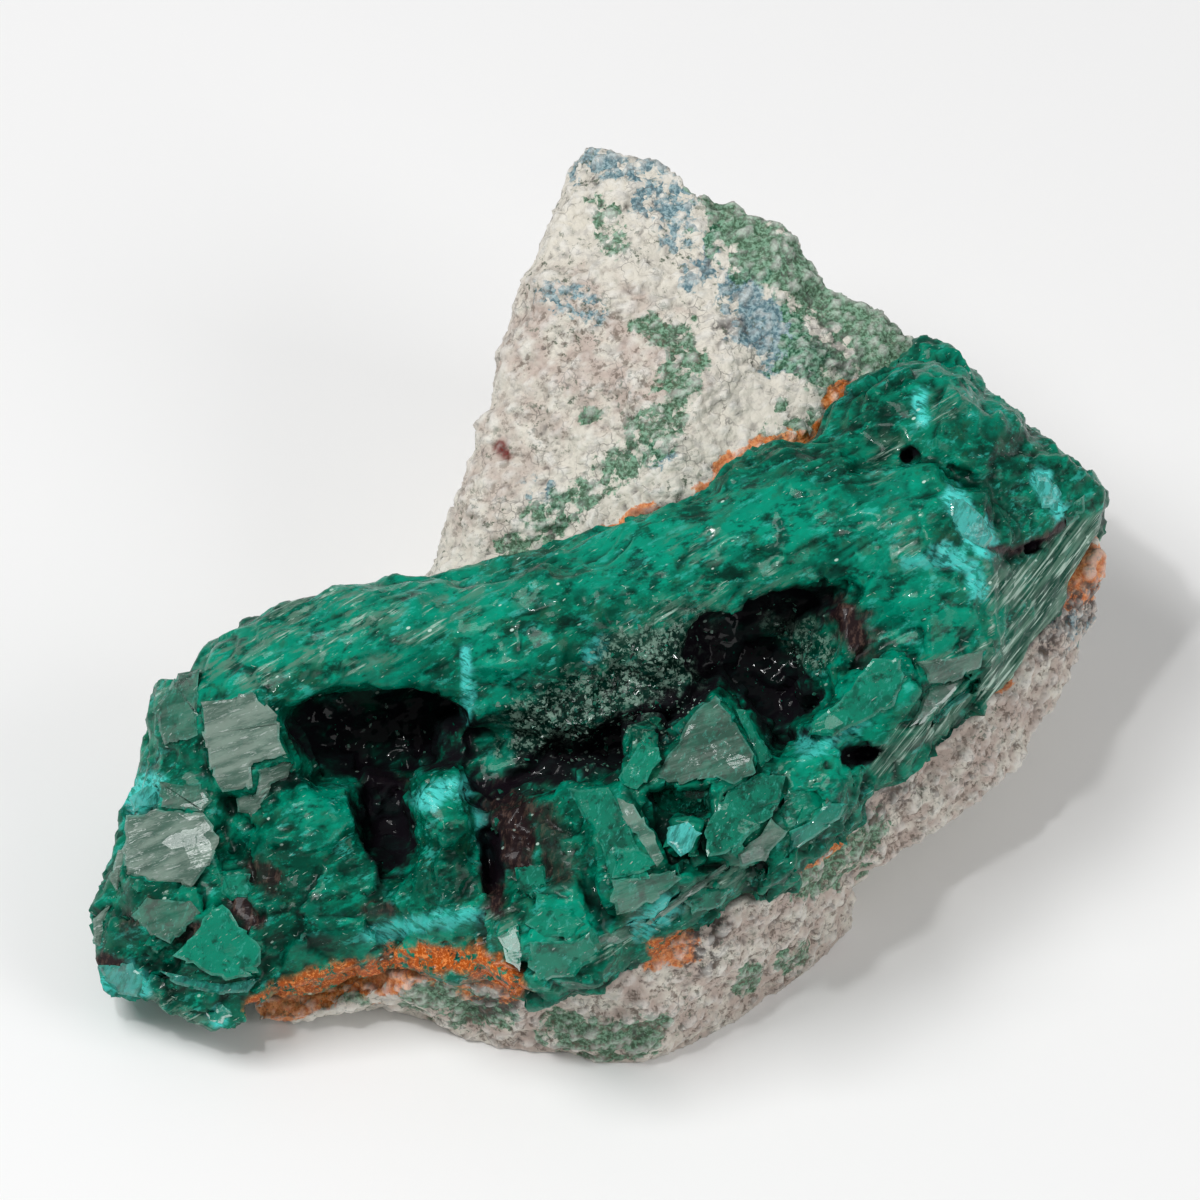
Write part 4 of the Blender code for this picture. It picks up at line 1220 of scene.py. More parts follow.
CRUST_PATCHES = (
    stroke(Tint.CYAN, 0.8, 1.0, (21.1, 6.0), (22.3, 4.5), (23.1, 3.3)),
    stroke(Tint.CYAN, 0.7, 0.75, (20.5, 2.9), (22.1, 1.8), (22.7, 0.6)),
    stroke(Tint.CYAN, 0.5, 0.4, (18.3, 2.1), (20.4, 2.4)),
    stroke(Tint.CYAN, 0.6, 1.0, (26.4, 7.5), (27.0, 6.0), (27.5, 5.3)),
    stroke(Tint.CYAN, 0.5, 0.85, (19.0, 12.4), (19.4, 10.9)),
    stroke(Tint.CYAN, 0.35, 0.8, (-8.1, -3.0), (-7.9, -5.4), (-8.0, -7.2)),
    stroke(Tint.CYAN, 0.7, 0.8, (-10.5, -12.0), (-9.6, -11.4), (-8.0, -11.2)),
    stroke(Tint.CYAN, 0.5, 0.6, (-7.2, -12.6), (-6.7, -15.0), (-6.5, -16.2)),
    stroke(Tint.CYAN, 1.0, 0.8, (-27.9, -12.0), (-27.0, -11.1)),
    stroke(Tint.CYAN, 1.0, 0.6, (-29.7, -22.5), (-27.9, -23.1)),
    stroke(Tint.CYAN, 0.6, 0.8, (-22.8, -24.9)),
    stroke(Tint.CYAN, 0.6, 0.6, (-13.8, -20.1), (-10.8, -19.3), (-7.5, -18.9)),
    stroke(Tint.CYAN, 0.8, 0.6, (2.4, -19.5), (4.2, -18.3)),
    stroke(Tint.CYAN, 1.0, 0.6, (12.6, -8.7), (15.0, -7.2)),
    stroke(Tint.CYAN, 0.6, 0.7, (0.0, -2.7), (-0.6, -3.3)),
    # grey strokes on the left ridge: bands of pale threads that are partly painted highlight
    stroke(Tint.GREY, 0.70, 1.0, (-24.0, -4.7), (-22.2, -3.3), (-19.8, -2.0), (-18.0, -1.5)),
    stroke(Tint.GREY, 0.50, 1.0, (-21.0, -5.0), (-18.3, -3.6), (-16.2, -2.7)),
    stroke(Tint.GREY, 0.55, 0.9, (-15.9, -2.4), (-13.5, -1.2), (-12.0, -0.6)),
    stroke(Tint.GREY, 0.60, 1.0, (-19.5, -0.5), (-16.8, -0.1), (-14.4, 0.1)),
    stroke(Tint.GREY, 0.40, 0.9, (-14.9, -0.8), (-12.3, -1.1)),
    stroke(Tint.GREY, 0.45, 0.8, (-11.7, -2.5), (-9.6, -1.6), (-7.5, -0.7)),
    stroke(Tint.GREY, 0.45, 0.8, (-10.2, -0.4), (-7.2, 0.6)),
    stroke(Tint.GREY, 0.40, 0.7, (-15.0, -4.1), (-12.0, -3.3)),
    stroke(Tint.LIGHT, 2.4, 0.7, (-24.3, -5.4), (-20.4, -2.4), (-15.6, -0.9), (-10.8, 0.0), (-7.2, 0.6)),
    stroke(Tint.GREY, 1.1, 0.55, (5.1, 3.6), (6.3, 3.0)),
    stroke(Tint.GREY, 1.4, 0.8, (1.2, -2.4), (4.8, -1.1), (6.6, -0.3)),
    stroke(Tint.DRUSE, 2.4, 1.0, (-3.9, -8.1), (-0.6, -6.3), (3.0, -5.1), (5.4, -3.0)),
    stroke(Tint.DRUSE, 1.0, 0.8, (0.6, -3.0), (3.6, -2.4)),
    stroke(Tint.DRUSE, 1.2, 0.8, (10.5, -0.9), (12.9, -3.0)),
    stroke(Tint.GREY, 1.6, 0.8, (10.2, 0.0), (12.0, -1.2)),
    stroke(Tint.GREY, 1.0, 0.6, (20.4, 11.5), (21.6, 12.3)),
    stroke(Tint.GREY, 1.0, 0.5, (16.8, 8.1), (17.4, 9.0)),
    stroke(Tint.GREY, 0.9, 0.7, (17.7, 4.8), (18.6, 2.4)),
    stroke(Tint.GREY, 0.9, 0.7, (-26.1, -5.4), (-25.8, -7.5)),
    stroke(Tint.GREY, 0.7, 0.9, (-6.6, -18.3), (-5.4, -19.8)),
    stroke(Tint.GREY, 0.8, 0.8, (-26.4, -24.0), (-24.0, -25.2)),
    stroke(Tint.GREY, 0.7, 0.9, (0.0, -21.0), (4.8, -18.3), (8.4, -16.2)),
    stroke(Tint.GREY, 0.22, 1.0, (23.1, 2.4), (23.4, 0.0), (23.4, -2.9)),
    stroke(Tint.GREY, 0.25, 1.0, (19.3, -3.6), (21.6, -3.2), (23.1, -2.7)),
    stroke(Tint.FIBRE, 1.5, 1.0, (24.0, -5.4), (25.8, -2.4), (27.6, 0.3), (29.4, 3.6)),
    stroke(Tint.FIBRE, 1.3, 0.9, (24.3, 0.6), (26.7, 1.5), (28.5, 3.6)),
    stroke(Tint.FIBRE, 0.9, 0.7, (16.8, -9.6), (19.8, -7.5), (21.6, -6.0)),
    stroke(Tint.BROWN, 1.3, 1.0, (14.6, -0.9), (15.6, -2.4)),
    stroke(Tint.BROWN, 1.7, 1.0, (-5.7, -12.0), (-4.8, -13.8), (-5.1, -15.0)),
    stroke(Tint.BROWN, 1.1, 0.8, (-3.3, -13.2), (-2.4, -16.2)),
    stroke(Tint.BROWN, 0.8, 1.0, (-6.4, -16.2), (-6.2, -18.3)),
    stroke(Tint.BROWN, 0.9, 0.9, (-20.3, -16.2), (-19.7, -16.8)),
    stroke(Tint.BROWN, 0.8, 1.0, (-21.6, -18.3), (-20.7, -19.2)),
    stroke(Tint.BROWN, 0.5, 0.9, (-24.8, -19.9), (-24.2, -19.6)),
    stroke(Tint.BROWN, 0.6, 0.8, (-27.1, -18.3), (-28.3, -19.5)),
    stroke(Tint.BROWN, 0.5, 0.8, (-13.8, -18.6), (-12.6, -18.5)),
    stroke(Tint.BROWN, 0.6, 0.6, (2.7, -3.5), (3.6, -3.7)),
    stroke(Tint.BROWN, 0.5, 1.0, (-30.0, -21.6), (-28.9, -21.7)),
    # painted shadow in the cleft under the ledge at the right end
    stroke(Tint.BROWN, 0.28, 1.0, (23.3, 3.1), (24.9, 2.9), (26.7, 3.7), (28.0, 4.7)),
    stroke(Tint.ORANGE, 1.0, 1.0, (-13.7, -22.5), (-12.0, -21.6), (-9.0, -21.4), (-6.6, -22.0),
           (-5.3, -23.1)),
    # painted shade carrying the left hollows' darkness over the rim between them
    stroke(Tint.DEEP, 1.0, 1.0, (-14.9, -10.6), (-11.6, -10.9)),
    stroke(Tint.BROWN, 0.7, 0.8, (-13.8, -10.7), (-12.0, -11.0)),
    stroke(Tint.ORANGE, 0.9, 0.9, (-20.7, -24.6), (-18.0, -23.1), (-15.0, -22.3)),
    stroke(Tint.ORANGE, 0.6, 0.9, (3.3, -20.9), (5.1, -20.3)),
    stroke(Tint.DEEP, 2.2, 0.8, (-12.0, -15.6), (-9.6, -16.8), (-7.8, -15.0)),
    stroke(Tint.DEEP, 1.8, 0.8, (-16.2, -19.8), (-18.6, -18.9), (-18.0, -16.8)),
    stroke(Tint.DEEP, 1.5, 0.9, (-20.4, -5.9), (-16.8, -6.0), (-12.0, -5.1), (-9.6, -4.8)),
    stroke(Tint.DEEP, 1.2, 0.8, (-2.4, -3.9), (1.2, -3.3), (5.4, -2.7)),
    stroke(Tint.DEEP, 1.4, 0.7, (-12.0, -1.8), (-10.2, -1.5)),
    stroke(Tint.DEEP, 1.3, 0.7, (-16.2, -1.5), (-19.2, -2.4)),
    stroke(Tint.DEEP, 1.3, 0.7, (24.0, 6.0), (24.9, 4.8)),
    stroke(Tint.DEEP, 1.0, 0.9, (24.0, 2.4), (25.8, 2.7)),
    stroke(Tint.DEEP, 2.0, 0.8, (-28.8, -20.4), (-25.8, -23.1), (-21.6, -24.0)),
    stroke(Tint.DEEP, 1.6, 0.8, (6.0, -18.0), (8.4, -16.8), (2.4, -18.0)),
    stroke(Tint.DEEP, 1.0, 0.8, (16.8, -12.0), (12.6, -14.4), (14.4, -11.4)),
    stroke(Tint.DEEP, 1.3, 0.6, (21.6, 12.0), (24.0, 10.2)),
    stroke(Tint.DEEP, 1.5, 0.5, (13.8, 2.4), (15.6, 3.6)),
    stroke(Tint.LIGHT, 2.4, 0.8, (0.0, 2.4), (4.8, 3.6), (8.4, 5.1), (12.0, 4.8)),
    stroke(Tint.LIGHT, 2.2, 0.6, (-7.2, -1.2), (-6.0, -4.8), (-6.0, -9.0)),
    stroke(Tint.LIGHT, 3.0, 0.6, (16.2, -1.2), (19.8, -1.2), (21.6, -0.6)),
    stroke(Tint.LIGHT, 2.0, 0.6, (15.6, 1.2), (16.2, 4.8), (18.0, 6.6)),
    stroke(Tint.LIGHT, 2.4, 0.9, (-3.3, -20.7), (-1.5, -19.2)),
    stroke(Tint.LIGHT, 1.6, 0.6, (-15.6, -3.6), (-12.0, -3.9)),
    stroke(Tint.LIGHT, 1.8, 0.8, (12.6, -12.0), (15.0, -6.0), (18.0, -4.8)),
    stroke(Tint.LIGHT, 1.6, 0.6, (-17.4, -12.6), (-15.0, -12.0)),
    stroke(Tint.LIGHT, 1.5, 0.6, (20.4, 14.4), (23.4, 11.4)),
    stroke(Tint.LIGHT, 1.3, 0.6, (-13.2, -20.7), (-9.0, -19.5)),
)

# where the painted shade in the hollows is strongest
HOLLOW_PATCHES = (
    stroke(Tint.ROOM, 1.5, 1.0, (-13.9, -10.1), (-12.4, -11.5)),
    stroke(Tint.ROOM, 2.7, 1.0, (-16.9, -8.1), (-13.8, -8.4), (-9.0, -7.9)),
    stroke(Tint.ROOM, 2.0, 1.0, (-12.9, -11.4), (-12.6, -15.0)),
    stroke(Tint.ROOM, 1.6, 1.0, (-6.9, -11.4), (-3.6, -10.5), (0.0, -9.3), (2.4, -7.8), (5.4, -6.0)),
    stroke(Tint.ROOM, 3.1, 1.0, (6.9, -3.0), (9.0, -4.2), (10.8, -6.0)),
    stroke(Tint.ROOM, 1.3, 1.0, (8.4, -0.6), (10.8, 0.1), (12.9, 0.0)),
    stroke(Tint.ROOM, 1.1, 1.0, (14.4, -9.3), (15.9, -8.7), (16.8, -8.3)),
    stroke(Tint.ROOM, 0.75, 1.0, (18.5, 8.7)),
    stroke(Tint.ROOM, 0.5, 1.0, (16.2, 6.9)),
    stroke(Tint.ROOM, 0.55, 1.0, (23.3, 3.1), (24.9, 2.9), (26.7, 3.7), (28.0, 4.7)),
    stroke(Tint.ROOM, 0.9, 1.0, (-6.5, -13.2), (-6.4, -16.2)),
    stroke(Tint.ROOM, 0.5, 0.9, (14.7, 3.9), (15.0, 3.6)),
)


@dataclass
class HostRock:
    """The white host rock, with its sugary grains and its stains."""

    grain: float = 0.28
    softening: int = 1
    cell: float = 0.80
    cell_height: float = 0.20
    cell_lift: float = 0.13
    fine_cell: float = 0.42
    fine_height: float = 0.06
    lump_size: float = 2.4
    lump_height: float = 0.34
    seam_reach: float = 1.0
    cell_level: float = 0.75
    fine_level: float = 0.6
    dome_width: float = 0.5
    cell_warp: float = 0.3
    cell_warp_size: float = 0.8
    crust_clearance: Span = (0.35, 0.9)
    ground_clearance: Span = (0.02, 0.5)
    reach: Span = (-0.8, 0.45)
    neighbourhood: int = 6
    crevice: Span = (-0.05, -0.20)
    crest: Span = (0.03, 0.14)
    upward: Span = (-0.35, 0.15)
    shadow: Span = (0.75, 0.30)
    fray_size: float = 0.9
    frayed: Span = (-0.5, 0.4)
    stain_fray: float = 1.3
    finish: RockFinish = field(default_factory=RockFinish)

    def build(self, crust: BVHTree) -> bpy.types.Object:
        """Make the rock's surface.

        Args:
            crust: the crust's surface, under which the rock stays plain.

        Returns:
            The piece.
        """
        item = as_object("host_rock",
                         regrained(shape_of(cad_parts["matrix"]), self.grain, self.softening))
        skin = Skin(item)
        hidden = np.array([crust.find_nearest(Vector(point))[3] or 1.0 for point in skin.metres]) / MM
        free = smooth_step(*self.crust_clearance, hidden)
        free *= smooth_step(*self.ground_clearance, skin.metres[:, 2] / MM)
        warp = self.cell_warp * noise_at(skin.places, self.cell_warp_size, 1, 4.0)[:, None]
        edge, _, lean = cells_at(skin.places + warp, self.cell)
        dome = 1 - (1 - np.clip(edge / self.dome_width, 0, 1)) ** 2
        fine_edge, _, _ = cells_at(skin.places + 3.7, self.fine_cell)
        fine_dome = np.clip(fine_edge / self.dome_width, 0, 1)
        lumps = noise_at(skin.places, self.lump_size, 3, 5.1)
        height = self.cell_height * (dome - self.cell_level) + self.cell_lift * lean[:, 0]
        height += self.fine_height * (fine_dome - self.fine_level) + self.lump_height * lumps
        skin.push(np.clip(height, *self.reach) * free)
        stands_out = skin.bulge(self.neighbourhood)
        skin.write(Mask.CREVICE, smooth_step(*self.crevice, stands_out))
        skin.write(Mask.CREST, smooth_step(*self.crest, stands_out))
        facing = smooth_step(*self.upward, skin.normals[:, 2])
        skin.write(Mask.BACK, 1 - facing)
        ragged = smooth_step(*self.frayed, noise_at(skin.places, self.fray_size, 2, 2.2))
        skin.write(Mask.SHADE, smooth_step(*self.shadow, hidden) * ragged)
        for tint in (Tint.BLUE, Tint.GREEN, Tint.ORANGE, Tint.RUST, Tint.PINK, Tint.SOOT):
            skin.write(tint, skin.cover(tint, ROCK_PATCHES, self.stain_fray) * facing)
        near_crust = smooth_step(self.seam_reach, 0.6 * self.seam_reach, hidden)
        skin.write(Tint.SEAM, skin.cover(Tint.SEAM, ROCK_PATCHES, self.stain_fray) * near_crust)
        item.data.materials.append(self.finish.material())
        item.data.shade_smooth()
        return item


@dataclass
class CrustBody:
    """The emerald crust: silky ridge and bosses, crystalline slopes, and hollows with painted shade."""

    grain: float = 0.285
    softening: int = 2
    thread_height: float = 0.06
    ledge_height: float = 0.24
    side_slant: float = 52.0
    facet_sizes: tuple[float, float] = (2.3, 1.0)
    facet_tilts: tuple[float, float] = (0.27, 0.15)
    rough_height: float = 0.035
    swell_height: float = 0.22
    swell_size: float = 3.2
    rough_size: float = 0.45
    ridge_roughness: float = 0.3
    thread_size: Place = (5.0, 0.55, 0.8)
    thread_warp: float = 0.5
    thread_warp_size: float = 4.0
    ledge_size: Place = (8.0, 2.0, 2.6)
    ledge_rows: float = 2.4
    ledge_rise: float = 0.82
    layer_size: Place = (9.0, 0.42, 0.7)
    layer_height: float = 0.16
    upward: Span = (-0.5, 0.1)
    ground_clearance: Span = (0.3, 1.2)
    reach: Span = (-0.7, 0.5)
    under_share: float = 0.25
    neighbourhood: int = 7
    crevice: Span = (-0.03, -0.15)
    crest: Span = (0.03, 0.20)
    patch_fray: float = 0.8
    room_fray: float = 1.1
    room_reach: float = 6.5
    room_rays: tuple[int, int] = (18, 8)
    room_dark: Span = (0.33, 0.60)
    room_bonus: float = 0.34
    plain_share: float = 0.3
    closed: Span = (0.50, 0.85)
    finish: CrustFinish = field(default_factory=CrustFinish)

    def flow(self, places: np.ndarray) -> np.ndarray:
        """Height of the fine threads and the overlapping ledges that run along the ridge.

        Args:
            places: places in the face's frame, one row each.

        Returns:
            The height at each place, in millimetres.
        """
        turned = along_flow(places, FLOW_SLANT)
        warped = turned + self.thread_warp * noise_at(turned, self.thread_warp_size, 1, 8.0)[:, None]
        threads = noise_at(warped, self.thread_size, 2, 1.7)
        rows = np.mod(noise_at(warped, self.ledge_size, 1, 6.4) * self.ledge_rows, 1)
        falling = (1 - rows) / (1 - self.ledge_rise)
        sheets = np.where(rows < self.ledge_rise, rows / self.ledge_rise, falling)
        return self.thread_height * threads + self.ledge_height * (sheets - 0.5)

    def layers(self, places: np.ndarray) -> np.ndarray:
        """Height of the thin layers that show edge on at the right end."""
        turned = along_flow(places, self.side_slant)
        return self.layer_height * noise_at(turned, self.layer_size, 1, 2.5)

    def facets(self, places: np.ndarray) -> np.ndarray:
        """Height of flat facets that tilt each their own way.

        Args:
            places: places in the face's frame, one row each.

        Returns:
            The height at each place, in millimetres.
        """
        height = np.zeros(len(places))
        for size, tilt in zip(self.facet_sizes, self.facet_tilts):
            _, offset, lean = cells_at(places + size, size)
            height += size * tilt * np.einsum("ij,ij->i", offset, lean)
        return height

    def silkiness(self, places: np.ndarray) -> np.ndarray:
        """How smooth the crust is at each place.

        Args:
            places: places in the face's frame, one row each.

        Returns:
            1 on the ridge, the bosses and the right end, and 0 on the crystalline slopes.
        """
        smooth = (
            stroke(Tint.LIGHT, 4.6, 1.0, (-26.0, -7.0), (-18.0, -3.0), (-8.0, -2.0), (2.0, 1.0),
                   (12.0, 4.6), (20.0, 9.0)),
            stroke(Tint.LIGHT, 5.4, 1.0, (18.0, 1.0), (22.0, 6.0), (27.0, 6.0)),
            stroke(Tint.LIGHT, 2.8, 0.8, (-18.4, -13.4), (-16.0, -14.0)),
            stroke(Tint.LIGHT, 2.2, 0.8, (-6.6, -7.4), (-5.7, -9.6)),
            stroke(Tint.LIGHT, 2.4, 0.7, (-9.0, -13.2), (-8.7, -16.8)),
        )
        wander = 0.4 * noise_at(places, 3.0, 1, 3.0)
        return np.max([patch.cover(places[:, :2], wander) for patch in smooth], axis=0)

    def build(self) -> bpy.types.Object:
        """Make the crust's surface.

        Returns:
            The piece, which the rock and the crystals are fitted to.
        """
        solid = shape_of(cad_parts["dioptase_crust"])
        item = as_object("emerald_crust", regrained(solid, self.grain, self.softening))
        skin = Skin(item)
        seen = smooth_step(*self.upward, skin.normals[:, 2])
        silky = self.silkiness(skin.places)
        fibrous = skin.cover(Tint.FIBRE, CRUST_PATCHES, 1.0)
        swell = self.swell_height * noise_at(skin.places, self.swell_size, 2, 7.7)
        height = silky * (self.flow(skin.places) + swell)
        height += (1 - silky) * self.facets(skin.places)
        rough = noise_at(skin.places, self.rough_size, 2, 4.4)
        height += self.rough_height * (1 + self.ridge_roughness - silky) * rough
        height = height * (1 - fibrous) + fibrous * self.layers(skin.places)
        clear_of_ground = smooth_step(*self.ground_clearance, skin.metres[:, 2] / MM)
        free = (self.under_share + (1 - self.under_share) * seen) * clear_of_ground
        skin.push(np.clip(height, *self.reach) * free)
        stands_out = skin.bulge(self.neighbourhood)
        skin.write(Mask.CREVICE, smooth_step(*self.crevice, stands_out))
        skin.write(Mask.CREST, smooth_step(*self.crest, stands_out))
        skin.write(Mask.HOLLOW_SHADE, self.hollow_painted_shade(skin))
        for tint in (Tint.CYAN, Tint.GREY, Tint.BROWN, Tint.DEEP, Tint.LIGHT, Tint.DRUSE, Tint.ORANGE):
            skin.write(tint, skin.cover(tint, CRUST_PATCHES, self.patch_fray) * seen)
        skin.write(Tint.FIBRE, fibrous * seen)
        item.data.materials.append(self.finish.material())
        item.data.shade_smooth()
        return item

    def hollow_painted_shade(self, skin: Skin) -> np.ndarray:
        """How much painted shade each place gets for lying in one of the hollows or a cleft.

        Args:
            skin: the crust's skin.

        Returns:
            1 deep in one of the hollows and 0 in the open, for each vertex.
        """
        walls = BVHTree.FromBMesh(shape_of(skin.item))
        shut = 1 - skin.openness(walls, self.room_reach, self.room_rays[bool(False)], 71)
        rooms = skin.cover(Tint.ROOM, HOLLOW_PATCHES, self.room_fray)
        dark = smooth_step(*self.room_dark, shut + self.room_bonus * (rooms - self.plain_share))
        dark *= self.plain_share + (1 - self.plain_share) * rooms
        return dark + self.plain_share * smooth_step(*self.closed, shut)


@dataclass(frozen=True)
class Sheet:
    """A flat crystal face that stands a little out of the crust: its outline and colours."""

    outline: tuple[Spot, ...]
    tints: dict[Tint, float]
    lift: float = 0.15
    depth: float = 1.3


# GREY on these sheets lays the painted silvery sheen
SILVER = {Tint.GREY: 1.0}
DULL = {Tint.GREY: 0.5, Tint.DEEP: 0.3}
MINT = {Tint.LIGHT: 1.0}
GREEN = {Tint.LIGHT: 0.35}
PALE = {Tint.LIGHT: 0.8, Tint.GREY: 0.35}

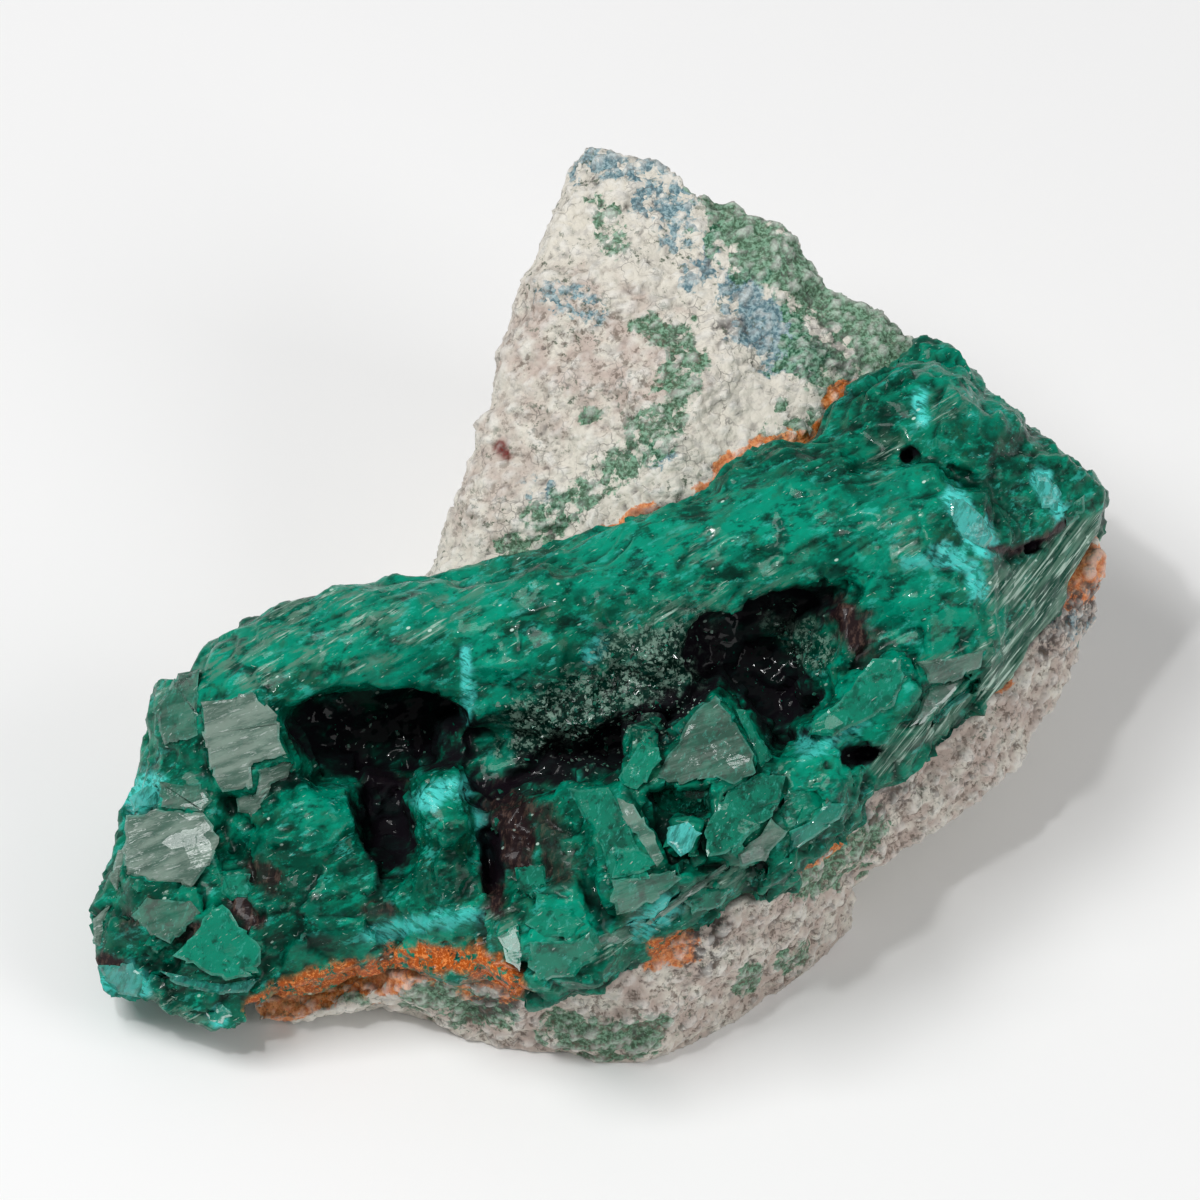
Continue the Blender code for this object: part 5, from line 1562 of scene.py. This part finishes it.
SHEETS = (
    Sheet(
        ((-23.9, -6.1), (-20.8, -5.5), (-19.3, -6.9), (-18.8, -9.2), (-20.9, -10.0), (-20.8, -11.2),
         (-22.6, -11.5), (-23.2, -10.5), (-23.8, -8.1)),
        SILVER, 0.42, 2.2,
    ),
    Sheet(
        ((-20.5, -10.2), (-18.7, -9.5), (-18.2, -9.8), (-18.7, -10.6), (-19.7, -11.0), (-19.9, -11.9),
         (-20.6, -12.0)),
        SILVER, 0.22,
    ),
    Sheet(((-21.8, -11.9), (-19.7, -11.2), (-20.3, -12.4), (-20.9, -13.0), (-21.7, -12.7)), SILVER, 0.12),
    Sheet(
        ((-26.8, -6.7), (-25.3, -4.4), (-24.0, -4.1), (-24.1, -8.1), (-26.1, -8.7)),
        {Tint.GREY: 0.3}, 0.1,
    ),
    Sheet(
        ((-28.4, -12.9), (-26.6, -12.5), (-23.8, -12.7), (-22.8, -14.2), (-23.2, -15.5),
         (-24.5, -17.3), (-25.4, -16.9), (-26.6, -17.0), (-28.4, -16.4), (-28.7, -15.0)),
        SILVER, 0.32, 2.0,
    ),
    Sheet(((-26.4, -10.9), (-23.9, -11.0), (-23.2, -12.0), (-23.8, -12.7), (-26.3, -12.4)), DULL, 0.15),
    Sheet(
        ((-28.3, -11.9), (-26.9, -11.0), (-26.4, -11.4), (-26.6, -12.4), (-28.0, -12.7)),
        {Tint.CYAN: 0.9}, 0.15,
    ),
    Sheet(
        ((-28.1, -18.9), (-27.1, -17.8), (-24.5, -18.0), (-23.9, -18.7), (-24.8, -19.8),
         (-25.7, -20.6), (-26.9, -20.1)),
        {Tint.GREY: 0.35}, 0.2,
    ),
    Sheet(
        ((-22.6, -18.2), (-21.1, -19.8), (-20.3, -20.8), (-20.4, -22.3), (-22.4, -22.8),
         (-23.9, -22.1), (-25.6, -21.3), (-24.1, -19.8), (-23.6, -18.9)),
        MINT, 0.35, 2.0,
    ),
    Sheet(
        ((-22.6, -16.4), (-20.9, -16.4), (-20.8, -17.6), (-22.0, -18.0), (-22.7, -17.5)),
        {Tint.LIGHT: 0.8}, 0.2,
    ),
    Sheet(
        ((-26.4, -22.2), (-22.5, -23.0), (-20.3, -22.6), (-21.1, -23.5), (-22.9, -23.6), (-25.4, -23.0)),
        {Tint.DEEP: 0.3, Tint.CYAN: 0.25}, 0.1,
    ),
    Sheet(
        ((-30.1, -21.9), (-28.0, -21.7), (-27.3, -22.8), (-27.7, -23.8), (-28.9, -23.6), (-29.8, -22.9)),
        {Tint.CYAN: 0.5, Tint.GREY: 0.3}, 0.15,
    ),
    Sheet(
        ((-23.6, -24.7), (-22.6, -24.2), (-22.0, -24.9), (-22.6, -25.4), (-23.4, -25.3)),
        {Tint.LIGHT: 0.6, Tint.CYAN: 0.2}, 0.15,
    ),
    Sheet(
        ((-28.9, -15.0), (-28.4, -14.9), (-28.7, -16.3), (-28.9, -17.8), (-29.5, -16.6)),
        SILVER, 0.3, 0.8,
    ),
    Sheet(
        ((-30.4, -19.1), (-29.2, -18.0), (-29.8, -19.3), (-29.9, -20.8), (-30.4, -20.6)),
        SILVER, 0.3, 0.8,
    ),
    Sheet(
        ((1.1, -10.6), (2.5, -8.4), (3.5, -8.8), (3.7, -9.5), (2.8, -10.9), (2.2, -11.3), (1.4, -11.0)),
        {Tint.LIGHT: 0.8}, 0.5, 2.4,
    ),
    Sheet(
        ((6.9, -5.7), (7.8, -6.9), (9.2, -9.2), (9.3, -10.3), (8.0, -11.0), (6.6, -10.6), (4.7, -11.0),
         (3.4, -10.6), (4.1, -9.2), (5.6, -6.8)),
        {Tint.GREY: 0.45, Tint.DEEP: 0.6}, 0.3, 2.6,
    ),
    Sheet(((8.1, -6.5), (8.7, -6.6), (10.3, -9.4), (9.5, -10.3), (9.2, -9.0)), {Tint.LIGHT: 0.5}, 0.1, 2.0),
    Sheet(
        ((2.6, -11.0), (4.7, -11.2), (6.6, -11.2), (6.6, -12.6), (5.5, -12.9), (4.6, -13.0),
         (3.5, -12.6)),
        {Tint.DEEP: 0.6}, 0.1, 2.0,
    ),
    Sheet(
        ((-2.0, -11.2), (0.5, -11.2), (1.4, -12.7), (2.4, -15.0), (3.0, -16.6), (2.0, -17.0),
         (0.5, -16.7), (0.1, -14.7), (-1.3, -12.4)),
        {Tint.LIGHT: 0.6}, 0.2, 2.4,
    ),
    Sheet(
        ((1.0, -11.8), (2.0, -12.2), (3.2, -13.8), (3.8, -15.4), (3.4, -15.9), (2.3, -14.2),
         (1.3, -12.9)),
        {Tint.GREY: 0.75, Tint.LIGHT: 0.5}, 0.42, 2.0,
    ),
    Sheet(((0.9, -14.7), (2.4, -15.0), (3.4, -15.7), (2.4, -16.3), (0.7, -16.6)), MINT, 0.25),
    Sheet(
        ((0.7, -16.7), (3.1, -16.3), (4.5, -16.1), (4.9, -16.6), (3.9, -17.4), (3.1, -18.1),
         (1.0, -18.8), (0.6, -18.0)),
        PALE, 0.2, 2.0,
    ),
    Sheet(
        ((4.0, -13.6), (5.2, -13.2), (6.1, -13.9), (5.5, -14.8), (4.8, -15.3), (4.0, -14.5)),
        {Tint.CYAN: 1.0}, 0.3,
    ),
    Sheet(
        ((6.6, -13.0), (7.6, -11.4), (9.7, -10.3), (11.1, -10.5), (10.6, -12.3), (10.3, -12.9),
         (8.8, -14.1), (8.1, -15.0), (6.4, -15.3), (6.2, -13.9)),
        {Tint.LIGHT: 0.45}, 0.35, 2.6,
    ),
    Sheet(
        ((11.2, -11.3), (12.8, -11.3), (13.6, -12.0), (12.5, -13.1), (11.2, -13.6), (10.7, -12.6)),
        {Tint.LIGHT: 0.8}, 0.15, 1.6,
    ),
    Sheet(
        ((13.7, -12.0), (14.8, -12.2), (14.3, -13.1), (12.4, -14.4), (11.2, -15.3), (11.3, -13.8),
         (12.6, -13.2)),
        {Tint.LIGHT: 0.5, Tint.CYAN: 0.15}, 0.25, 1.6,
    ),
    Sheet(
        ((10.2, -13.0), (11.2, -13.8), (9.9, -15.6), (8.4, -15.9), (8.2, -15.1), (9.4, -14.2)),
        {Tint.GREY: 0.7}, 0.35, 1.6,
    ),
    Sheet(((5.0, -18.0), (6.1, -17.0), (7.8, -17.3), (7.2, -18.3), (5.5, -18.8)), {Tint.LIGHT: 0.25}, 0.15),
    Sheet(
        ((2.7, -19.3), (4.8, -17.5), (7.5, -15.7), (7.8, -16.0), (6.0, -17.3), (3.9, -18.8),
         (3.0, -19.4)),
        {Tint.GREY: 0.8}, 0.25, 1.2,
    ),
    Sheet(((-0.2, -20.1), (1.8, -19.3), (2.1, -20.1), (0.9, -20.6), (0.0, -20.6)), {Tint.GREY: 0.55}, 0.15),
    Sheet(
        ((-4.5, -19.3), (-3.3, -18.2), (-1.5, -18.5), (-0.9, -19.3), (-1.6, -20.2), (-3.3, -20.1)),
        MINT, 0.18, 1.6,
    ),
    Sheet(
        ((-6.1, -20.1), (-4.9, -19.3), (-4.6, -21.0), (-4.8, -22.2), (-5.6, -21.6)),
        {Tint.LIGHT: 0.5}, 0.12,
    ),
    Sheet(
        ((-4.2, -20.4), (-1.7, -20.4), (-0.6, -19.8), (0.0, -21.0), (-1.5, -22.5), (-3.6, -22.8),
         (-4.3, -21.9)),
        {Tint.LIGHT: 0.7}, 0.12, 1.6,
    ),
    Sheet(
        ((-5.1, -16.0), (-3.3, -15.7), (-3.1, -17.0), (-3.9, -18.0), (-5.0, -17.3)),
        {Tint.LIGHT: 0.4}, 0.15,
    ),
    Sheet(
        ((12.4, -8.1), (12.7, -7.3), (14.4, -6.0), (16.3, -3.5), (18.0, -3.5), (18.2, -4.5),
         (17.6, -6.3), (15.7, -7.3), (13.9, -8.2)),
        {Tint.LIGHT: 0.9}, 0.2, 1.8,
    ),
    Sheet(
        ((18.9, -3.7), (21.7, -3.3), (23.1, -2.9), (22.8, -4.0), (21.1, -4.9), (19.7, -5.0)),
        {Tint.GREY: 0.6}, 0.15, 1.6,
    ),
    Sheet(((19.6, -5.2), (22.3, -4.4), (20.9, -5.8), (19.4, -7.3), (18.5, -7.6), (19.2, -6.2)), DULL, 0.15),
    Sheet(
        ((22.9, -4.3), (22.3, -5.6), (20.2, -7.4), (18.3, -8.5), (19.8, -7.1), (21.4, -5.7)),
        {Tint.LIGHT: 0.4, Tint.CYAN: 0.2}, 0.12,
    ),
    Sheet(
        ((20.9, 6.0), (21.7, 6.1), (22.9, 5.0), (23.5, 3.8), (23.0, 3.1), (21.7, 3.8), (21.1, 4.7)),
        {Tint.CYAN: 0.9, Tint.GREY: 0.2}, 0.1, 0.8,
    ),
    Sheet(
        ((26.0, 7.8), (26.8, 7.6), (27.7, 6.4), (27.5, 5.3), (26.5, 5.5), (26.2, 6.5)),
        {Tint.CYAN: 1.0}, 0.12, 0.8,
    ),
    Sheet(((27.8, 5.3), (29.1, 6.3), (29.1, 5.3), (28.0, 4.4)), GREEN, 0.1, 0.8),
)


@dataclass
class CrystalFaces:
    """The crystals that show flat faces, with crisp edges and small chips."""

    seed: int = 5
    rim: float = 0.18
    rim_drop: float = 0.14
    chip: float = 0.20
    samples: int = 6
    steepest: float = 0.75
    chip_spacing: float = 0.45
    inner_share: float = 0.85
    fits: int = 4
    kept_share: float = 0.75
    sinking: float = 0.18
    press_reach: float = 1.8
    finish: CrystalFinish = field(default_factory=CrystalFinish)

    def jagged(self, outline: tuple[Spot, ...], chance: random.Random) -> list[Spot]:
        """The outline with small chips along its sides.

        Args:
            outline: the corners.
            chance: the source of random numbers.

        Returns:
            The new corners.
        """
        middle = np.mean(outline, axis=0)
        points = []
        for start, end in zip(outline, outline[1:] + outline[:1]):
            start, step = np.array(start), np.subtract(end, start)
            points.append(tuple(start))
            count = int(np.linalg.norm(step) / self.chip_spacing)
            for share in sorted(chance.uniform(0.1, 0.9) for _ in range(count)):
                point = start + step * share
                inwards = (middle - point) / max(float(np.linalg.norm(middle - point)), 0.1)
                points.append(tuple(point + inwards * chance.uniform(-0.5, 1.0) * self.chip))
        return points

    def plane(self, outline: tuple[Spot, ...], crust: BVHTree) -> np.ndarray:
        """The flat plane that lies closest to the crust inside an outline.

        Args:
            outline: the corners.
            crust: the crust's surface.

        Returns:
            W at the origin of U and V, and W's slope along U and V.
        """
        middle = np.mean(outline, axis=0)
        rows, heights = [], []
        for corner in outline:
            for step in range(self.samples):
                share = self.inner_share * step / (self.samples - 1)
                u, v = middle + (np.array(corner) - middle) * share
                hit = crust.ray_cast(FACE.place(u, v, ABOVE), FACE.direction(0, 0, -1))[0]
                if hit is not None:
                    rows.append((1.0, u, v))
                    heights.append(FACE.coordinates(np.array(hit)[None])[0, 2])
        rows, heights = np.array(rows), np.array(heights)
        kept = np.ones(len(rows), dtype=bool)
        for _ in range(self.fits):
            fitted = np.linalg.lstsq(rows[kept], heights[kept], rcond=None)[0]
            miss = np.abs(heights - rows @ fitted)
            kept = miss <= np.quantile(miss, self.kept_share)
        steep = float(np.hypot(fitted[1], fitted[2]))
        if steep > self.steepest:
            slopes = fitted[1:] * self.steepest / steep
            return np.array([fitted[0] + (fitted[1:] - slopes) @ middle, *slopes])
        return fitted

    def press(self, crust: bpy.types.Object, planes: list[np.ndarray]) -> None:
        """Lower the crust where it would come through a face.

        Args:
            crust: the crust's piece.
            planes: the plane of each sheet, as the plane method gives it.
        """
        skin = Skin(crust)
        u, v, w = skin.places.T
        lowered = w.copy()
        for sheet, (level, along_u, along_v) in zip(SHEETS, planes):
            top = level + along_u * u + along_v * v + sheet.lift - self.sinking
            over = inside(sheet.outline, skin.places[:, :2]) & (w > top) & (w < top + self.press_reach)
            lowered = np.where(over, np.minimum(lowered, top), lowered)
        moved = skin.metres + np.array(FACE.direction(0, 0, 1)) * (lowered - w)[:, None] * MM
        moved[:, 2] = np.maximum(moved[:, 2], 0.0)
        crust.data.vertices.foreach_set("co", moved.ravel())
        crust.data.update()

    def slab(self, sheet: Sheet, plane: np.ndarray, chance: random.Random) -> bmesh.types.BMesh:
        """The closed shape of one sheet, with a small chamfer round its face.

        Args:
            sheet: the sheet.
            plane: its plane, as the plane method gives it.
            chance: the source of random numbers.

        Returns:
            The shape.
        """
        level, along_u, along_v = plane
        plate = bmesh.new()
        edge_mask = plate.verts.layers.float.new(Mask.EDGE.value)
        corners = [
            plate.verts.new(FACE.place(u, v, level + along_u * u + along_v * v + sheet.lift))
            for u, v in self.jagged(sheet.outline, chance)
        ]
        face = plate.faces.new(corners)
        face.normal_update()
        if face.normal.dot(FACE.direction(0, 0, 1)) < 0:
            face.normal_flip()
        bmesh.ops.inset_individual(plate, faces=[face], thickness=self.rim * MM, use_even_offset=True)
        drop = FACE.direction(0, 0, -self.rim_drop * MM)
        for corner in corners:
            corner[edge_mask] = 1.0
            corner.co += drop
        border = [edge for edge in plate.edges if edge.is_boundary]
        made = bmesh.ops.extrude_edge_only(plate, edges=border)
        rim = [part for part in made["geom"] if isinstance(part, bmesh.types.BMVert)]
        bmesh.ops.translate(plate, verts=rim, vec=FACE.direction(0, 0, -sheet.depth * MM))
        open_edges = [edge for edge in plate.edges if edge.is_boundary]
        bmesh.ops.contextual_create(plate, geom=open_edges)
        bmesh.ops.triangulate(plate, faces=plate.faces)
        bmesh.ops.recalc_face_normals(plate, faces=plate.faces)
        for tint, amount in sheet.tints.items():
            layer = plate.verts.layers.float.new(tint.value)
            for vertex in plate.verts:
                vertex[layer] = amount
        return plate

    def build(self, crust: bpy.types.Object) -> bpy.types.Object:
        """Make all the large crystal faces as one mesh.

        Args:
            crust: the crust's piece, which is pressed flat under each face.

        Returns:
            The piece.
        """
        chance = random.Random(self.seed)
        surface = BVHTree.FromBMesh(shape_of(crust))
        planes = [self.plane(sheet.outline, surface) for sheet in SHEETS]
        self.press(crust, planes)
        whole = bmesh.new()
        for mask in (Tint.CYAN, Tint.GREY, Tint.DEEP, Tint.LIGHT, Mask.EDGE):
            whole.verts.layers.float.new(mask.value)
        for sheet, plane in zip(SHEETS, planes):
            add_shape(whole, self.slab(sheet, plane, chance))
        item = as_object("crystal_faces", whole)
        item.data.materials.append(self.finish.material())
        return item


@dataclass(frozen=True)
class DruseBed:
    """A stretch of the crust that small crystals cover."""

    path: tuple[Spot, ...]
    width: float
    count: int
    sizes: tuple[float, float]
    tints: dict[Tint, float]
    sink: float = 0.30


@dataclass
class Druse:
    """Small angular crystals that stand out of the slopes and line the hollows."""

    seed: int = 17
    corners: int = 9
    leaning: float = 0.45
    small_bias: float = 2.2
    least_tint: float = 0.3
    flatness: tuple[float, float, float] = (1.0, 0.75, 0.55)
    beds: tuple[DruseBed, ...] = (
        DruseBed(((-3.6, -7.8), (0.0, -6.0), (4.8, -2.7)), 2.6, 420, (0.22, 0.75), {Tint.GREY: 1.0}, 0.15),
        DruseBed(((-3.3, -7.5), (3.6, -4.8)), 2.6, 260, (0.25, 0.80), {Tint.BROWN: 1.0}, 0.15),
        DruseBed(((-16.8, -8.1), (-9.0, -8.7)), 2.0, 40, (0.20, 0.55), {Tint.DEEP: 1.0}, 0.2),
        DruseBed(((6.0, -2.4), (10.8, -6.0)), 2.6, 50, (0.20, 0.60), {Tint.DEEP: 1.0}, 0.2),
        DruseBed(((10.5, -0.6), (13.2, -4.8)), 1.6, 110, (0.20, 0.65), {Tint.GREY: 0.6}, 0.15),
        DruseBed(((6.0, -6.3), (3.0, -9.0), (-2.4, -10.2)), 0.9, 120, (0.18, 0.45), {Tint.GREY: 0.9}, 0.1),
        DruseBed(((-19.2, -18.0), (-13.2, -16.8), (-7.2, -19.2)), 3.4, 170, (0.20, 0.70),
                 {Tint.LIGHT: 0.3}, 0.25),
        DruseBed(((-28.8, -18.0), (-26.4, -21.6), (-20.4, -23.1)), 2.0, 90, (0.40, 2.20),
                 {Tint.DEEP: 0.6}, 0.35),
        DruseBed(((-29.4, -15.6), (-22.2, -15.6), (-21.0, -18.6)), 2.0, 50, (0.40, 1.80),
                 {Tint.LIGHT: 0.6}, 0.35),
        DruseBed(((-6.0, -20.4), (-2.4, -21.6), (4.8, -18.0)), 2.2, 90, (0.30, 1.50), {Tint.LIGHT: 0.6},
                 0.35),
        DruseBed(((3.6, -15.6), (9.6, -16.2), (15.6, -11.4)), 2.4, 90, (0.40, 2.20), {Tint.LIGHT: 0.5},
                 0.38),
        DruseBed(((4.8, -15.0), (9.6, -15.6), (12.0, -10.2)), 2.4, 60, (0.40, 2.00), {Tint.DEEP: 0.7},
                 0.38),
        DruseBed(((3.6, -18.3), (8.4, -16.8), (13.8, -12.0)), 1.8, 40, (0.40, 1.60), {Tint.GREY: 0.7},
                 0.38),
        DruseBed(((-6.6, -11.4), (-6.0, -16.2)), 1.4, 40, (0.30, 1.30), {Tint.BROWN: 0.9}, 0.35),
        # small bright chips with painted sheen, standing for glints in the left hollows
        DruseBed(((-16.2, -7.2), (-9.6, -9.0)), 1.8, 16, (0.25, 0.55), {Tint.GREY: 1.0}, 0.05),
        DruseBed(((-4.8, -12.0), (-2.4, -12.0)), 1.4, 60, (0.20, 0.50), {Tint.BROWN: 0.9}, 0.2),
        DruseBed(((-27.9, -10.8), (-29.4, -15.6)), 1.0, 30, (0.35, 1.0), {Tint.CYAN: 0.4}, 0.35),
    )
    finish: CrystalFinish = field(
        default_factory=lambda: CrystalFinish(name="druse_crystal", clearness=0.20, roughness=0.10)
    )

    def chip(self, size: float, chance: random.Random) -> bmesh.types.BMesh:
        """An angular crystal chip round the origin.

        Args:
            size: about how wide it is, in metres.
            chance: the source of random numbers.

        Returns:
            The shape.
        """
        shape = bmesh.new()
        for _ in range(self.corners):
            point = Vector(chance.gauss(0, 1) for _ in range(3)).normalized() * size / 2
            shape.verts.new(Vector(side * length for side, length in zip(point, self.flatness)))
        made = bmesh.ops.convex_hull(shape, input=shape.verts)
        spare = set(made["geom_interior"] + made["geom_unused"])
        spare = [part for part in spare if isinstance(part, bmesh.types.BMVert)]
        bmesh.ops.delete(shape, geom=spare, context="VERTS")
        bmesh.ops.recalc_face_normals(shape, faces=shape.faces)
        return shape

    def build(self, crust: BVHTree) -> bpy.types.Object:
        """Set the small crystals on the crust as one mesh.

        Args:
            crust: the crust's finished surface.

        Returns:
            The piece.
        """
        chance = random.Random(self.seed)
        whole = bmesh.new()
        for tint in (Tint.CYAN, Tint.GREY, Tint.DEEP, Tint.LIGHT, Tint.BROWN):
            whole.verts.layers.float.new(tint.value)
        inwards = FACE.direction(0, 0, -1)
        for bed in self.beds:
            for _ in range(bed.count):
                leg = chance.randrange(max(1, len(bed.path) - 1))
                share = chance.random()
                start, end = bed.path[leg], bed.path[min(leg + 1, len(bed.path) - 1)]
                u = start[0] + (end[0] - start[0]) * share + chance.gauss(0, bed.width / 2)
                v = start[1] + (end[1] - start[1]) * share + chance.gauss(0, bed.width / 2)
                hit, normal, _, _ = crust.ray_cast(FACE.place(u, v, ABOVE), inwards)
                smallest, largest = bed.sizes
                size = smallest + (largest - smallest) * chance.random() ** self.small_bias
                lean = Vector(chance.gauss(0, self.leaning) for _ in range(3))
                spin = Matrix.Rotation(chance.uniform(0, math.tau), 4, "Z")
                amount = chance.uniform(self.least_tint, 1.0)
                if hit is None or any(inside(sheet.outline, np.array([[u, v]]))[0] for sheet in SHEETS):
                    continue
                turn = (normal + lean).normalized().to_track_quat("Z", "Y").to_matrix().to_4x4()
                place = Matrix.Translation(hit - normal * bed.sink * size * MM)
                shape = self.chip(size * MM, chance)
                bmesh.ops.transform(shape, verts=shape.verts, matrix=place @ turn @ spin)
                for tint, strength in bed.tints.items():
                    layer = shape.verts.layers.float.new(tint.value)
                    for vertex in shape.verts:
                        vertex[layer] = strength * amount
                add_shape(whole, shape)
        item = as_object("small_crystals", whole)
        item.data.materials.append(self.finish.material())
        return item


@dataclass(frozen=True)
class Lamp:
    """A square soft light: its place and width in metres and its power in watts."""

    name: str
    place: Place
    width: float
    power: float


@dataclass
class Studio:
    """The floor, the soft lights and the camera at the photograph's angle."""

    floor_size: float = 3.0
    distance: float = 2.40
    lens: float = 1200.0
    sensor: float = 36.0
    focus: Place = (0.0, 0.0, 22.0)
    clip: Span = (0.01, 20.0)
    world: float = 0.30
    white: tuple[float, float, float, float] = (1.0, 1.0, 1.0, 1.0)
    aim: Place = (0.0, 0.0, 0.012)
    lamps: tuple[Lamp, ...] = (
        Lamp("key", (-0.27, -0.06, 0.54), 0.26, 1.9),
        Lamp("spark", (-0.15, -0.17, 0.53), 0.03, 0.50),
        Lamp("fill", (0.42, -0.22, 0.36), 0.30, 0.8),
    )

    def build(self) -> None:
        """Make everything that stands around the specimen."""
        self.floor()
        self.camera()
        self.sky()
        for lamp in self.lamps:
            self.light(lamp)

    def floor(self) -> None:
        """A wide flat floor under the specimen."""
        shape = bmesh.new()
        bmesh.ops.create_grid(shape, x_segments=1, y_segments=1, size=self.floor_size / 2)
        item = as_object("floor", shape)
        item.data.materials.append(FloorFinish().material())

    def camera(self) -> None:
        """A long lens square to the broken face."""
        data = bpy.data.cameras.new("camera")
        data.lens = self.lens
        data.sensor_width = self.sensor
        data.clip_start, data.clip_end = self.clip
        item = bpy.data.objects.new("camera", data)
        away = FACE.direction(0, 0, self.distance)
        item.matrix_world = Matrix.Translation(FACE.place(*self.focus) + away) @ FACE.axes().to_4x4()
        bpy.context.scene.collection.objects.link(item)
        bpy.context.scene.camera = item

    def sky(self) -> None:
        """An even white surrounding."""
        world = bpy.data.worlds.new("studio")
        world.use_nodes = True
        background = world.node_tree.nodes["Background"]
        background.inputs["Color"].default_value = self.white
        background.inputs["Strength"].default_value = self.world
        bpy.context.scene.world = world
        bpy.context.scene.view_settings.view_transform = "Standard"

    def light(self, lamp: Lamp) -> None:
        """Set up a light that shines at the specimen.

        Args:
            lamp: the light.
        """
        data = bpy.data.lights.new(lamp.name, "AREA")
        data.size = lamp.width
        data.energy = lamp.power
        item = bpy.data.objects.new(lamp.name, data)
        item.location = lamp.place
        item.rotation_euler = (Vector(self.aim) - Vector(lamp.place)).to_track_quat("-Z", "Y").to_euler()
        bpy.context.scene.collection.objects.link(item)


def install(item: bpy.types.Object, slot: str, *nodes: str) -> None:
    """Let a piece ride on the specimen's body.

    Args:
        item: the piece.
        slot: its material slot; not used.
        *nodes: the nodes that it stands for.
    """
    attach(item, "root")
    if nodes:
        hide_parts(*nodes)
    LOG.info("%s: %d faces", item.name, len(item.data.polygons))


def main() -> None:
    """Build the specimen's pieces in order, then the studio around them."""
    logging.basicConfig(level=logging.INFO, format="%(name)s: %(message)s")
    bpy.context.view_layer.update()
    crust = CrustBody().build()
    install(crust, "dioptase", "dioptase_crust")
    crust_surface = BVHTree.FromBMesh(shape_of(crust))
    install(HostRock().build(crust_surface), "host_rock", "matrix")
    install(CrystalFaces().build(crust), "dioptase")
    install(Druse().build(BVHTree.FromBMesh(shape_of(crust))), "dioptase")
    Studio().build()


if __name__ == "__main__":
    main()
